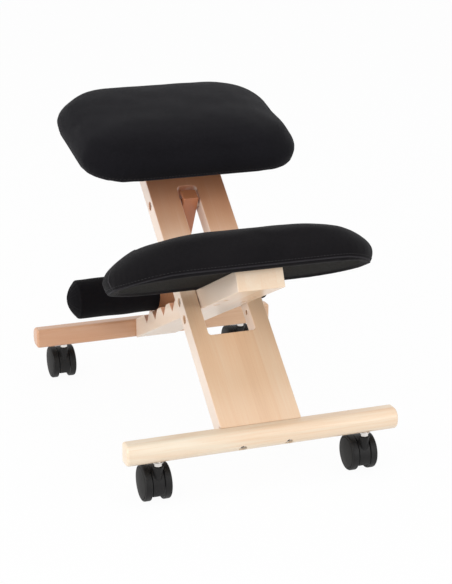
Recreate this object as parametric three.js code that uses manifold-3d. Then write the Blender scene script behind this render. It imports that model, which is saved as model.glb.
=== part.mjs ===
// Kneeling chair in beech, built in millimetres with +Z up, +Y to the rear and the floor at z = 0.
// A seat board and a knee beam cross on one pivot bolt. A prop pinned in the seat board stands in
// one of the sawtooth notches of the beam and sets the height. Each member is modelled in a frame of
// its own, in which local Y runs along the member, and the frames are then turned into place.
import * as THREE from 'three';
import { mergeVertices } from 'three/addons/utils/BufferGeometryUtils.js';
import Module from 'manifold-3d';

const wasm = await Module();
wasm.setup();

// Fits that the whole chair shares.
const gap = 0.3;
const overrun = 2;

// Crossbars: D-shaped in section, round side outwards.
const barLength = 480;
const barHeight = 37;
const barDepth = 34;
const barOuterRound = 16;
const barInnerRound = 5.2;
const barEndRound = 5;
const barSpacing = 604.6;

// Bolts that hold the crossbars to the board and the beam.
const barBoltRadius = 4;
const barBoltHeadRadius = 6.5;
const barBoltHeadHeight = 8;
const barBoltSinkRadius = 7;
const barBoltSinkDepth = 12;
const barBoltGrip = 50;
const boardBoltOffset = 41;
const beamBoltOffset = 22;

// Main board with its stepped slot.
const boardSlope = THREE.MathUtils.degToRad(39.1);
const boardWidth = 144;
const boardThickness = 33;
const boardLength = 610;
const boardToe = 8.4;
const boardEdgeRound = 2;
const boardTipBlunt = 10;
const wideSlotWidth = 85;
const wideSlotStart = 181;
const wideSlotCorner = 5;
const slotStep = 300;
const narrowSlotWidth = 36;
const narrowSlotCorner = 8;

// Pivot holes of the board: two measured up its front face, the prop's measured down from its top.
const spareHoleAt = 226.4;
const mainPivotAt = 262.2;
const propPivotDrop = 139.5;
const pivotBoltRadius = 4;
const pivotHeadRadius = 7;
const pivotHeadHeight = 5;
const pivotSinkRadius = 7.6;
const pivotSinkDepth = 8;
const pivotNutBarrelRadius = 5.6;
const pivotNutBarrelLength = 14;
const washerRadius = 9;
const hexRecessRadius = 3;
const hexRecessDepth = 3;

// Knee beam with its rack of notches, measured ahead of the rear crossbar.
const beamWidth = 82;
const beamThickness = 35;
const beamFrontReach = 226;
const beamEdgeRound = 1.5;
const notchCount = 4;
const firstNotchAhead = 79.5;
const notchPitch = 58.5;
const notchDepth = 17.5;

// Prop strut and the two ankle rolls on its rod.
const propNeckWidth = 28;
const propFootWidth = 60;
const propThickness = 24;
const propHeadReach = 21;
const propHeadRoom = 5.5;
const propShoulderAt = 150;
const propShoulderRound = 8;
const propEdgeRound = 1.5;
const rollRadius = 36.5;
const rollReach = 192;
const rollEndRound = 12;
const rollInnerRound = 6;
const rollEndCrown = 3;
const rodRadius = 6;
const rodReach = 160;

// Seat: a cushion round a plywood board, on a wedge block in front of the main board.
const seatTilt = THREE.MathUtils.degToRad(11.8);
const seatAhead = 24.8;
const seatWidth = 404;
const seatDepth = 307;
const seatHeight = 77;
const seatCorner = 82;
const seatBulgeHeight = 16;
const seatDrawIn = 11;
const seatCrownPower = 3.5;
const blockWidth = 100;
const blockFrontAhead = 68.7;

// Knee pad: a cushion with round ends, on a plywood board on top of the beam.
const kneeWidth = 470;
const kneeDepth = 222;
const kneeHeight = 78;
const kneeCorner = 110;
const kneeBulgeHeight = 12.5;
const kneeDrawIn = 9;
const kneeCrownPower = 3.4;
const kneeTaperShare = 0.04;
const kneeCentreAhead = 142;

// Plywood boards under the cushions.
const plyThickness = 12;
const plyInset = 20;
const padOutlinePoints = 60;
const padRingShares = [1, 0.985, 0.955, 0.9, 0.81, 0.68, 0.5, 0.28];
const padSideShare = 1 / 3;

// Wood screws.
const screwRadius = 2.4;
const screwHeadRadius = 4.3;
const screwHeadHeight = 2.6;
const screwSinkRadius = 6.5;
const screwTipLength = 5;
const screwBite = 9.5;
const kneeScrewSide = 25;
const kneeScrewsAhead = [116, 60];
const kneeScrewSink = 14;
const seatScrewSide = 32;
const seatScrewsAhead = [14, 36];
const seatScrewSink = 10;
const blockScrewSide = 14;
const blockScrewAhead = 44;
const blockScrewSink = 8;
const blockScrewGrip = 15;

// Casters: twin wheels behind an upright stem.
const casterInset = 56;
const casterHeight = 76;
const wheelRadius = 31;
const wheelWidth = 15;
const wheelDish = 4;
const wheelHubRadius = 11;
const wheelRimRound = 3;
const wheelCrown = 2.5;
const wheelTrail = 22;
const wheelClearance = 0.9;
const hoodWidth = 20;
const hoodRadius = 29.8;
const hoodMouthHeight = 14;
const hoodEdgeRound = 1.2;
const hoodWindowRadius = 18;
const hoodWindowDepth = 4;
const bossRadius = 9;
const bossTopHeight = 67.6;
const bossFootHeight = 36;
const bossFootRadius = 5;
const axleRadius = 4;
const axleInset = 4;
const stemRadius = 4;
const stemReach = 26;
const stemSeat = 20;
const collarRadius = 6.5;
const socketRadius = 6;
const socketLength = 30;
const flangeRadius = 9;
const flangeThickness = 1.5;

// Facets round a full turn.
const boreSides = 12;
const smallSides = 8;
const wheelSides = 24;
const rollSides = 24;

// Finishes.
const finish = (color, roughness, metalness = 0) =>
  new THREE.MeshStandardMaterial({ color, roughness, metalness, flatShading: true });
const beech = finish(0xe0bb92, 0.45);
const plywood = finish(0x6a5644, 0.8);
const cloth = finish(0x212023, 0.95);
const steel = finish(0xb9bcc0, 0.3, 0.9);
const casterPlastic = finish(0x1c1b1c, 0.45);
const hubPlastic = finish(0x3a3836, 0.5);

// Solids from closed geometries, and geometries back from solids.
function toSolid(geometry) {
  geometry.deleteAttribute('normal');
  geometry.deleteAttribute('uv');
  const merged = mergeVertices(geometry);
  return new wasm.Manifold(new wasm.Mesh({
    numProp: 3,
    vertProperties: new Float32Array(merged.attributes.position.array),
    triVerts: new Uint32Array(merged.index.array),
  }));
}

function toGeometry(solid) {
  const mesh = solid.getMesh();
  const geometry = new THREE.BufferGeometry();
  geometry.setAttribute('position', new THREE.BufferAttribute(mesh.vertProperties, 3));
  geometry.setIndex(new THREE.BufferAttribute(mesh.triVerts, 1));
  geometry.computeVertexNormals();
  return geometry;
}

function cut(solid, ...tools) {
  return tools.flat().reduce((left, tool) => left.subtract(tool), solid);
}

function named(name, shape, material) {
  const geometry = shape instanceof wasm.Manifold ? toGeometry(shape) : shape;
  const mesh = new THREE.Mesh(geometry, material);
  mesh.name = name;
  return mesh;
}

// A frame whose local Y axis is turned by an angle from level, rising to the rear.
function frameAt(y, z, slope) {
  const frame = new THREE.Group();
  frame.position.set(0, y, z);
  frame.rotation.x = slope;
  frame.updateMatrixWorld();
  return frame;
}

const placeIn = (frame, y, z) => frame.worldToLocal(new THREE.Vector3(0, y, z));
const placeOf = (frame, y, z) => frame.localToWorld(new THREE.Vector3(0, y, z));

// A closed outline from corners, each with its own fillet radius.
function roundedOutline(corners) {
  const shape = new THREE.Shape();
  corners.forEach(([x, y, radius = 0], index) => {
    const corner = new THREE.Vector2(x, y);
    const before = new THREE.Vector2(...corners.at(index - 1)).sub(corner).normalize();
    const after = new THREE.Vector2(...corners[(index + 1) % corners.length]).sub(corner).normalize();
    const start = shape.curves.length || index ? 'lineTo' : 'moveTo';
    if (radius === 0) {
      shape[start](x, y);
      return;
    }
    const half = Math.acos(before.dot(after)) / 2;
    const tangent = radius / Math.tan(half);
    const centre = before.clone().add(after).setLength(radius / Math.sin(half)).add(corner);
    const from = before.clone().multiplyScalar(tangent).add(corner);
    const to = after.clone().multiplyScalar(tangent).add(corner);
    shape[start](from.x, from.y);
    shape.absarc(
      centre.x, centre.y, radius,
      from.sub(centre).angle(), to.sub(centre).angle(),
      before.cross(after) > 0,
    );
  });
  shape.closePath();
  return shape;
}

// A plate from an outline in local X and Y, from z = low upwards, with its edges rounded.
function plate(outline, low, thickness, edge = 0, steps = 3) {
  const geometry = new THREE.ExtrudeGeometry(outline, {
    depth: thickness - 2 * edge,
    curveSegments: steps,
    bevelEnabled: edge > 0,
    bevelThickness: edge,
    bevelSize: edge,
    bevelOffset: -edge,
    bevelSegments: 2,
  });
  geometry.translate(0, 0, low + edge);
  return toSolid(geometry);
}

// A bar from an outline in local Y and Z, centred across the chair, with its end edges rounded.
function bar(outline, width, edge, steps = 3, edgeSteps = 2) {
  const geometry = new THREE.ExtrudeGeometry(outline, {
    depth: width - 2 * edge,
    curveSegments: steps,
    bevelEnabled: edge > 0,
    bevelThickness: edge,
    bevelSize: edge,
    bevelOffset: -edge,
    bevelSegments: edgeSteps,
  });
  geometry.translate(0, 0, edge - width / 2);
  const across = new THREE.Vector3(1, 0, 0);
  const along = new THREE.Vector3(0, 1, 0);
  const up = new THREE.Vector3(0, 0, 1);
  geometry.applyMatrix4(new THREE.Matrix4().makeBasis(along, up, across));
  return toSolid(geometry);
}

// Round rods and bores: across the chair, along a member, or square to it.
function rodAcross(radius, fromX, toX, y, z, sides = boreSides) {
  const geometry = new THREE.CylinderGeometry(radius, radius, toX - fromX, sides);
  geometry.rotateZ(Math.PI / 2);
  geometry.translate((fromX + toX) / 2, y, z);
  return toSolid(geometry);
}

function rodAlong(radius, x, fromY, toY, z, sides = boreSides) {
  const geometry = new THREE.CylinderGeometry(radius, radius, toY - fromY, sides);
  geometry.translate(x, (fromY + toY) / 2, z);
  return toSolid(geometry);
}

function rodUp(radius, x, y, fromZ, toZ, sides = boreSides, topRadius = radius) {
  const geometry = new THREE.CylinderGeometry(topRadius, radius, toZ - fromZ, sides);
  geometry.rotateX(Math.PI / 2);
  geometry.translate(x, y, (fromZ + toZ) / 2);
  return toSolid(geometry);
}

// A turned piece from pairs of radius and height, about local Z unless it is laid across.
function turned(profile, sides, turn = 0) {
  const geometry = new THREE.LatheGeometry(profile.map((pair) => new THREE.Vector2(...pair)), sides);
  geometry.rotateY(turn);
  geometry.rotateX(Math.PI / 2);
  return toSolid(geometry);
}

const hexRecess = (low, top) => rodUp(hexRecessRadius, 0, 0, low, top, 6);

// Frames of the members, each derived from the one that carries it.
const casterSide = barLength / 2 - casterInset;
const propPivotAt = boardLength - propPivotDrop;
const narrowSlotEnd = propPivotAt + propHeadReach + propHeadRoom;
const barTop = barHeight / 2;
const barFace = barDepth / 2;
const boardFrame = frameAt(boardToe, barTop + gap, boardSlope);
const boardMiddle = -boardThickness / 2;
const mainPivot = placeOf(boardFrame, mainPivotAt, boardMiddle);
const propPivot = placeOf(boardFrame, propPivotAt, boardMiddle);
const rearJoint = new THREE.Vector3(0, barSpacing - barFace, 0);
const beamRun = rearJoint.clone().sub(mainPivot);
const beamSlope = Math.atan2(beamRun.z, beamRun.y);
const beamFrame = frameAt(mainPivot.y, mainPivot.z, beamSlope);
const beamTop = beamThickness / 2;

// The prop stands in the first notch, with the notch's walls along and square to it.
const notchFloor = beamTop - notchDepth;
const firstNotchReach = beamRun.length() - firstNotchAhead;
const firstNotch = placeOf(beamFrame, firstNotchReach, notchFloor);
const propRun = firstNotch.clone().sub(propPivot);
const propLean = Math.asin((propThickness / 2 + gap) / propRun.length());
const propSlope = Math.atan2(propRun.z, propRun.y) + propLean;
const propFrame = frameAt(propPivot.y, propPivot.z, propSlope);
const propLength = placeIn(propFrame, firstNotch.y, firstNotch.z).y - gap;
const notchSlope = beamSlope - propSlope;

// Crossbars.
function crossbar(boltSlope, boltOffset) {
  const outer = -barFace;
  const outline = roundedOutline([
    [outer, -barTop, barOuterRound],
    [barFace, -barTop, barInnerRound],
    [barFace, barTop, barInnerRound],
    [outer, barTop, barOuterRound],
  ]);
  const blank = bar(outline, barLength, barEndRound, 4, 3);
  const boltFrame = frameAt(outer + barOuterRound, -barTop + barOuterRound, boltSlope);
  const holes = [-boltOffset, boltOffset].flatMap((x) => [
    rodAlong(barBoltRadius + gap, x, -barDepth, barDepth, 0),
    rodAlong(barBoltSinkRadius, x, -barDepth, barBoltSinkDepth - barOuterRound, 0),
  ]).map((tool) => tool.rotate([THREE.MathUtils.radToDeg(boltSlope), 0, 0])
    .translate(boltFrame.position.toArray()));
  const sockets = [-casterSide, casterSide].map((x) =>
    rodUp(socketRadius + gap, x, 0, -barTop - overrun, socketLength + gap - barTop));
  return cut(blank, holes, sockets);
}

const frontBar = named('front_crossbar', crossbar(boardSlope, boardBoltOffset), beech);
const rearBar = named('rear_crossbar', crossbar(-beamSlope, beamBoltOffset), beech);
rearBar.position.y = barSpacing;
rearBar.rotation.z = Math.PI;

// A crossbar bolt along local Y, its head's seat at the origin.
function barBolt() {
  const bolt = turned([
    [0, -barBoltGrip],
    [barBoltRadius, -barBoltGrip],
    [barBoltRadius, 0],
    [barBoltHeadRadius, 0],
    [barBoltHeadRadius, barBoltHeadHeight],
    [0, barBoltHeadHeight],
  ], boreSides);
  const recess = hexRecess(barBoltHeadHeight - hexRecessDepth, barBoltHeadHeight + overrun);
  return cut(bolt, recess).rotate([90, 0, 0]);
}

// The bolts' line in each member's frame, through the centre of the bar's outer round, and their seats.
const boltHeight = barOuterRound - barTop;
const boardBoltCentre = placeIn(boardFrame, barOuterRound - barFace, boltHeight);
const boardBoltSeat = boardBoltCentre.y - barOuterRound + barBoltSinkDepth - gap;
const beamBoltCentre = placeIn(beamFrame, barSpacing + barFace - barOuterRound, boltHeight);
const beamBoltSeat = beamBoltCentre.y + barOuterRound - barBoltSinkDepth + gap;

const boardBolts = [['left', -boardBoltOffset], ['right', boardBoltOffset]].map(([side, x]) => {
  const bolt = named(`front_bar_bolt_${side}`, barBolt(), steel);
  bolt.position.set(x, boardBoltSeat, boardBoltCentre.z);
  return bolt;
});
const beamBolts = [['left', -beamBoltOffset], ['right', beamBoltOffset]].map(([side, x]) => {
  const bolt = named(`rear_bar_bolt_${side}`, barBolt(), steel);
  bolt.position.set(x, beamBoltSeat, beamBoltCentre.z);
  bolt.rotation.z = Math.PI;
  return bolt;
});

// Main board, and the wedge angle between its front face and the seat.
const wedge = boardSlope - seatTilt;
const seatFrame = boardFrame.clone();
seatFrame.position.copy(placeOf(boardFrame, boardLength, 0));
seatFrame.rotation.x = seatTilt;
seatFrame.updateMatrixWorld();

function mainBoard() {
  const heelInner = placeIn(boardFrame, barFace + gap, barTop + gap);
  const heelRun = (boardThickness + heelInner.z) * Math.tan(boardSlope);
  const tip = boardLength + boardThickness / Math.tan(wedge) - boardTipBlunt;
  const outline = new THREE.Shape([
    [0, 0],
    [heelInner.y, heelInner.z],
    [heelInner.y - heelRun, -boardThickness],
    [tip, -boardThickness],
    [tip, boardTipBlunt * Math.tan(wedge) - boardThickness],
    [boardLength, 0],
  ].map((pair) => new THREE.Vector2(...pair)));
  const blank = bar(outline, boardWidth, boardEdgeRound);

  const wide = wideSlotWidth / 2;
  const narrow = narrowSlotWidth / 2;
  const slot = plate(roundedOutline([
    [-wide, wideSlotStart, wideSlotCorner],
    [wide, wideSlotStart, wideSlotCorner],
    [wide, slotStep, wideSlotCorner],
    [narrow, slotStep],
    [narrow, narrowSlotEnd, narrowSlotCorner],
    [-narrow, narrowSlotEnd, narrowSlotCorner],
    [-narrow, slotStep],
    [-wide, slotStep, wideSlotCorner],
  ]), -boardThickness - overrun, boardThickness + 2 * overrun);

  const side = boardWidth / 2;
  const crossHoles = [spareHoleAt, mainPivotAt, propPivotAt].flatMap((y) => [
    rodAcross(pivotBoltRadius + gap, -side - overrun, side + overrun, y, boardMiddle),
    rodAcross(pivotSinkRadius, -side - overrun, pivotSinkDepth - side, y, boardMiddle),
    rodAcross(pivotSinkRadius, side - pivotSinkDepth, side + overrun, y, boardMiddle),
  ]);
  const barrelEnd = side - pivotSinkDepth - pivotNutBarrelLength - gap;
  const nutBarrels = [mainPivotAt, propPivotAt].map((y) =>
    rodAcross(pivotNutBarrelRadius + gap, barrelEnd, side, y, boardMiddle));
  const boreEnd = boardBoltSeat + barBoltGrip + gap;
  const boltBores = [-boardBoltOffset, boardBoltOffset].map((x) =>
    rodAlong(barBoltRadius + gap, x, -boardThickness, boreEnd, boardBoltCentre.z));
  const blockScrews = [-blockScrewSide, blockScrewSide].flatMap((x) => [
    rodUp(screwRadius + gap, x, boardLength - blockScrewAhead, -boardThickness - overrun, overrun),
    rodUp(screwSinkRadius, x, boardLength - blockScrewAhead, -boardThickness - overrun,
      blockScrewSink - boardThickness),
  ]);
  return cut(blank, slot, crossHoles, nutBarrels, boltBores, blockScrews);
}

// A cross bolt with a hex head on the left, and its barrel nut on the right.
function crossBolt(width) {
  const reach = width / 2 - pivotSinkDepth;
  const bolt = turned([
    [0, -reach],
    [pivotBoltRadius, -reach],
    [pivotBoltRadius, reach + gap],
    [pivotHeadRadius, reach + gap],
    [pivotHeadRadius, reach + gap + pivotHeadHeight],
    [0, reach + gap + pivotHeadHeight],
  ], boreSides);
  const top = reach + gap + pivotHeadHeight;
  return cut(bolt, hexRecess(top - hexRecessDepth, top + overrun)).rotate([0, -90, 0]);
}

function barrelNut(width) {
  const seat = width / 2 - pivotSinkDepth + gap;
  const top = seat + pivotHeadHeight;
  const nut = turned([
    [pivotBoltRadius + gap, seat - pivotNutBarrelLength],
    [pivotNutBarrelRadius, seat - pivotNutBarrelLength],
    [pivotNutBarrelRadius, seat],
    [pivotHeadRadius, seat],
    [pivotHeadRadius, top],
    [0, top],
    [0, seat],
    [pivotBoltRadius + gap, seat],
    [pivotBoltRadius + gap, seat - pivotNutBarrelLength],
  ], boreSides);
  return cut(nut, hexRecess(top - hexRecessDepth, top + overrun)).rotate([0, 90, 0]);
}

function washer(inner, outer) {
  const ring = turned([
    [pivotBoltRadius + gap, inner + gap],
    [washerRadius, inner + gap],
    [washerRadius, outer - gap],
    [pivotBoltRadius + gap, outer - gap],
    [pivotBoltRadius + gap, inner + gap],
  ], boreSides);
  return ring.rotate([0, 90, 0]);
}

function pivotSet(label, spacerLabel, at, innerWidth, outerWidth) {
  const set = [
    named(`${label}_bolt`, crossBolt(boardWidth), steel),
    named(`${label}_nut`, barrelNut(boardWidth), steel),
    named(`${spacerLabel}_left`, washer(innerWidth / 2, outerWidth / 2), steel),
    named(`${spacerLabel}_right`, washer(innerWidth / 2, outerWidth / 2), steel),
  ];
  set.forEach((piece) => piece.position.set(0, at, boardMiddle));
  set[2].rotation.z = Math.PI;
  return set;
}

// Wood screw along local Z: head seat at z = 0, tip upwards.
function woodScrew(length) {
  return turned([
    [0, -screwHeadHeight],
    [screwHeadRadius, -screwHeadHeight],
    [screwHeadRadius, 0],
    [screwRadius, 0],
    [screwRadius, length - screwTipLength],
    [0, length],
  ], smallSides);
}

// Outline of a pad: a rounded rectangle, wider to the rear by its taper.
function padOutline(width, depth, corner, taperShare, inset = 0) {
  const w = width / 2 - inset;
  const d = depth / 2 - inset;
  const r = Math.max(corner - inset, 0);
  const outline = roundedOutline([[-w, -d, r], [w, -d, r], [w, d, r], [-w, d, r]]);
  return outline.getSpacedPoints(padOutlinePoints).slice(0, -1).map((point) =>
    new THREE.Vector2(point.x * (1 + taperShare * point.y / d), point.y));
}

// A crowned cushion that stands on z = 0, with drawn-in sides and a pocket for its plywood board.
function cushion(pad) {
  const outline = padOutline(pad.width, pad.depth, pad.corner, pad.taperShare);
  const rings = [
    padOutline(pad.width, pad.depth, pad.corner, pad.taperShare, pad.drawIn).map((p) => [p.x, p.y, 0]),
    padOutline(pad.width, pad.depth, pad.corner, pad.taperShare, pad.drawIn * padSideShare).map((p) =>
      [p.x, p.y, pad.bulge * padSideShare]),
    ...padRingShares.map((share) => {
      const crown = Math.sqrt(1 - share ** pad.crownPower);
      const z = pad.bulge + (pad.height - pad.bulge) * crown;
      return outline.map((p) => [p.x * share, p.y * share, z]);
    }),
  ];
  const count = outline.length;
  const points = rings.flat();
  const foot = points.push([0, 0, 0]) - 1;
  const apex = points.push([0, 0, pad.height]) - 1;
  const faces = [];
  for (let side = 0; side < count; side += 1) {
    const next = (side + 1) % count;
    for (let ring = 0; ring < rings.length - 1; ring += 1) {
      const low = ring * count;
      const high = low + count;
      faces.push(low + side, low + next, high + next);
      faces.push(low + side, high + next, high + side);
    }
    const last = (rings.length - 1) * count;
    faces.push(foot, next, side);
    faces.push(last + side, last + next, apex);
  }
  const geometry = new THREE.BufferGeometry();
  geometry.setAttribute('position', new THREE.Float32BufferAttribute(points.flat(), 3));
  geometry.setIndex(faces);
  const pocket = plate(new THREE.Shape(
    padOutline(pad.width, pad.depth, pad.corner, pad.taperShare, plyInset - gap)),
  -overrun, plyThickness + gap + overrun);
  return cut(toSolid(geometry), pocket);
}

function plyBoard(pad, screws) {
  const outline = new THREE.Shape(
    padOutline(pad.width, pad.depth, pad.corner, pad.taperShare, plyInset));
  const bores = screws.map(([x, y]) =>
    rodUp(screwRadius + gap, x, y, -overrun, screwBite + gap, smallSides));
  return cut(plate(outline, 0, plyThickness), bores);
}

const seatPad = {
  width: seatWidth, depth: seatDepth, height: seatHeight, corner: seatCorner, taperShare: 0,
  bulge: seatBulgeHeight, drawIn: seatDrawIn, crownPower: seatCrownPower,
};
const kneePad = {
  width: kneeWidth, depth: kneeDepth, height: kneeHeight, corner: kneeCorner,
  taperShare: kneeTaperShare, bulge: kneeBulgeHeight, drawIn: kneeDrawIn, crownPower: kneeCrownPower,
};

// The wedge block between the board's front face and the seat, in the seat's frame.
const bothSides = (offset, places) => [-offset, offset].flatMap((x) => places.map((y) => [x, y]));
const seatScrewPlaces = bothSides(seatScrewSide, seatScrewsAhead.map((ahead) => -blockFrontAhead + ahead));
const underBlock = (y) => y * Math.tan(wedge);

function supportBlock() {
  const heel = -gap / Math.sin(wedge);
  const front = -blockFrontAhead;
  const outline = new THREE.Shape([
    [heel, 0],
    [front, 0],
    [front, (front - heel) * Math.tan(wedge)],
  ].map((pair) => new THREE.Vector2(...pair)));
  const blank = bar(outline, blockWidth, boardEdgeRound);
  const bores = seatScrewPlaces.flatMap(([x, y]) => [
    rodUp(screwRadius + gap, x, y, underBlock(y) - overrun, overrun, smallSides),
    rodUp(screwSinkRadius, x, y, -boardThickness - overrun, underBlock(y) + seatScrewSink, smallSides),
  ]);
  return cut(blank, bores);
}

// Caster sockets and casters.
function socket() {
  return turned([
    [stemRadius + gap, 0],
    [flangeRadius, 0],
    [flangeRadius, flangeThickness],
    [socketRadius, flangeThickness],
    [socketRadius, flangeThickness + socketLength],
    [0, flangeThickness + socketLength],
    [0, flangeThickness + stemReach + gap],
    [stemRadius + gap, flangeThickness + stemReach + gap],
    [stemRadius + gap, 0],
  ], boreSides);
}

const floorHeight = -barTop - casterHeight;
const socketFoot = -barTop - gap - flangeThickness;
const wheelTurn = Math.PI / wheelSides;
const wheelInner = hoodWidth / 2 + wheelClearance;

function wheel() {
  const r = wheelRadius / Math.cos(wheelTurn);
  const bore = axleRadius + gap;
  const boreEnd = wheelWidth - axleInset + gap;
  const solid = turned([
    [bore, 0],
    [wheelHubRadius, 0],
    [wheelHubRadius, wheelDish],
    [r - 2 * wheelRimRound, wheelDish],
    [r - wheelRimRound, 0],
    [r, wheelRimRound],
    [r, wheelWidth - wheelRimRound - wheelCrown],
    [r - wheelRimRound, wheelWidth - wheelCrown],
    [wheelHubRadius, wheelWidth],
    [0, wheelWidth],
    [0, boreEnd],
    [bore, boreEnd],
    [bore, 0],
  ], wheelSides, wheelTurn);
  return solid.rotate([0, 90, 0]).translate([wheelInner, 0, 0]);
}

function hood() {
  const drum = turned([
    [0, -hoodWidth / 2],
    [hoodRadius - hoodEdgeRound, -hoodWidth / 2],
    [hoodRadius, hoodEdgeRound - hoodWidth / 2],
    [hoodRadius, hoodWidth / 2 - hoodEdgeRound],
    [hoodRadius - hoodEdgeRound, hoodWidth / 2],
    [0, hoodWidth / 2],
  ], wheelSides).rotate([0, 90, 0]);
  const boss = rodUp(bossFootRadius, 0, -wheelTrail, bossFootHeight - wheelRadius,
    bossTopHeight - wheelRadius, boreSides, bossRadius);
  const mouth = plate(roundedOutline([
    [-wheelRadius, -wheelRadius],
    [wheelRadius, -wheelRadius],
    [wheelRadius, wheelRadius],
    [-wheelRadius, wheelRadius],
  ]), -wheelRadius - overrun, hoodMouthHeight + overrun);
  const windows = [-1, 1].map((side) => {
    const outer = side * (hoodWidth / 2 + overrun);
    const inner = side * (hoodWidth / 2 - hoodWindowDepth);
    const [low, high] = [Math.min(outer, inner), Math.max(outer, inner)];
    const sink = rodAcross(hoodWindowRadius, low, high, 0, 0, wheelSides);
    return cut(sink, rodAcross(wheelHubRadius, -wheelRadius, wheelRadius, 0, 0, wheelSides));
  });
  const axleBore = rodAcross(axleRadius + gap, -wheelRadius, wheelRadius, 0, 0);
  const stemBore = rodUp(stemRadius + gap, 0, -wheelTrail,
    bossTopHeight - stemSeat - wheelRadius, wheelRadius * 2, boreSides);
  return cut(drum.add(boss), mouth, windows, axleBore, stemBore);
}

function casterStem() {
  const collarLow = bossTopHeight - wheelRadius + gap;
  const collarTop = socketFoot - floorHeight - wheelRadius - gap;
  const foot = bossTopHeight - stemSeat - wheelRadius + gap;
  const top = socketFoot - floorHeight - wheelRadius + flangeThickness + stemReach;
  return turned([
    [0, foot],
    [stemRadius, foot],
    [stemRadius, collarLow],
    [collarRadius, collarLow],
    [collarRadius, collarTop],
    [stemRadius, collarTop],
    [stemRadius, top],
    [0, top],
  ], boreSides);
}

function caster(label, x, y) {
  const group = new THREE.Group();
  group.position.set(x, y + wheelTrail, floorHeight + wheelRadius);
  const axleReach = wheelInner + wheelWidth - axleInset;
  const axle = rodAcross(axleRadius, -axleReach, axleReach, 0, 0);
  const stem = named(`caster_stem_${label}`, casterStem(), steel);
  stem.position.y = -wheelTrail;
  const left = named(`wheel_${label}_left`, wheel(), hubPlastic);
  left.rotation.z = Math.PI;
  group.add(
    named(`caster_hood_${label}`, hood(), casterPlastic),
    stem,
    named(`caster_axle_${label}`, axle, steel),
    left,
    named(`wheel_${label}_right`, wheel(), hubPlastic),
  );
  const sleeve = named(`caster_socket_${label}`, socket(), steel);
  sleeve.position.set(x, y, socketFoot);
  return [group, sleeve];
}

// Knee beam.
function kneeBeam() {
  const rearEnd = (z) => (barSpacing - barFace - gap - mainPivot.y + z * Math.sin(beamSlope))
    / Math.cos(beamSlope);
  const outline = new THREE.Shape([
    [-beamFrontReach, -beamTop],
    [rearEnd(-beamTop), -beamTop],
    [rearEnd(beamTop), beamTop],
    [-beamFrontReach, beamTop],
  ].map((pair) => new THREE.Vector2(...pair)));
  const blank = bar(outline, beamWidth, beamEdgeRound);
  const notchTop = notchDepth + overrun;
  const tooth = new THREE.Shape([
    [0, 0],
    [notchTop * Math.tan(notchSlope), notchTop],
    [-notchTop / Math.tan(notchSlope), notchTop],
  ].map((pair) => new THREE.Vector2(...pair)));
  const notch = bar(tooth, beamWidth + 2 * overrun, 0);
  const rack = Array.from({ length: notchCount }, (_, index) =>
    notch.translate([0, firstNotchReach - index * notchPitch, notchFloor]));
  const pivotHole = rodAcross(pivotBoltRadius + gap, -beamWidth, beamWidth, 0, 0);
  const boltBores = [-beamBoltOffset, beamBoltOffset].map((x) =>
    rodAlong(barBoltRadius + gap, x, beamBoltSeat - barBoltGrip - gap, barSpacing, beamBoltCentre.z));
  const screwBores = kneeScrewPlaces.flatMap(([x, y]) => [
    rodUp(screwRadius + gap, x, y, -beamTop - overrun, beamTop + overrun, smallSides),
    rodUp(screwSinkRadius, x, y, -beamTop - overrun, kneeScrewSink - beamTop),
  ]);
  return cut(blank, rack, pivotHole, boltBores, screwBores);
}

const kneeScrewPlaces = bothSides(kneeScrewSide, kneeScrewsAhead.map((ahead) => -ahead));

// Prop strut, with local Y from its pivot down to its foot.
const rollAt = propLength - (rollRadius + gap + notchDepth
  - (propThickness / 2 + gap) * Math.cos(notchSlope)) / Math.sin(notchSlope);

function propStrut() {
  const neck = propNeckWidth / 2;
  const foot = propFootWidth / 2;
  const outline = roundedOutline([
    [-neck, -propHeadReach],
    [neck, -propHeadReach],
    [neck, propShoulderAt, propShoulderRound],
    [foot, propShoulderAt, propShoulderRound],
    [foot, propLength],
    [-foot, propLength],
    [-foot, propShoulderAt, propShoulderRound],
    [-neck, propShoulderAt, propShoulderRound],
  ]);
  const blank = plate(outline, -propThickness / 2, propThickness, propEdgeRound);
  return cut(
    blank,
    rodAcross(pivotBoltRadius + gap, -foot, foot, 0, 0),
    rodAcross(rodRadius + gap, -foot - overrun, foot + overrun, rollAt, 0),
  );
}

function ankleRoll() {
  const inner = propFootWidth / 2 + gap;
  const bore = rodRadius + gap;
  const quarterShares = [0, 1 / 3, 2 / 3, 1];
  const round = (centreR, centreX, radius, from, to) => quarterShares.map((share) => {
    const angle = THREE.MathUtils.degToRad(from + (to - from) * share);
    return [centreR + radius * Math.cos(angle), centreX + radius * Math.sin(angle)];
  });
  const roll = turned([
    [bore, inner],
    ...round(rollRadius - rollInnerRound, inner + rollInnerRound, rollInnerRound, -90, 0),
    ...round(rollRadius - rollEndRound, rollReach - rollEndCrown - rollEndRound, rollEndRound, 0, 90),
    [rodRadius, rollReach - gap],
    [0, rollReach],
    [0, rodReach + gap],
    [bore, rodReach + gap],
    [bore, inner],
  ], rollSides);
  return roll.rotate([0, 90, 0]);
}

// The chair: every member in its frame, then the whole on the floor with its origin below its middle.
boardFrame.add(
  named('main_board', mainBoard(), beech),
  ...boardBolts,
  ...pivotSet('main_pivot', 'pivot_washer', mainPivotAt, beamWidth, wideSlotWidth),
  ...pivotSet('strut_pivot', 'strut_washer', propPivotAt, propNeckWidth, narrowSlotWidth),
);
for (const [side, x] of [['left', -blockScrewSide], ['right', blockScrewSide]]) {
  const length = boardThickness - blockScrewSink + blockScrewGrip;
  const screw = named(`block_screw_${side}`, woodScrew(length), steel);
  screw.position.set(x, boardLength - blockScrewAhead, blockScrewSink - boardThickness - gap);
  boardFrame.add(screw);
}

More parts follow.
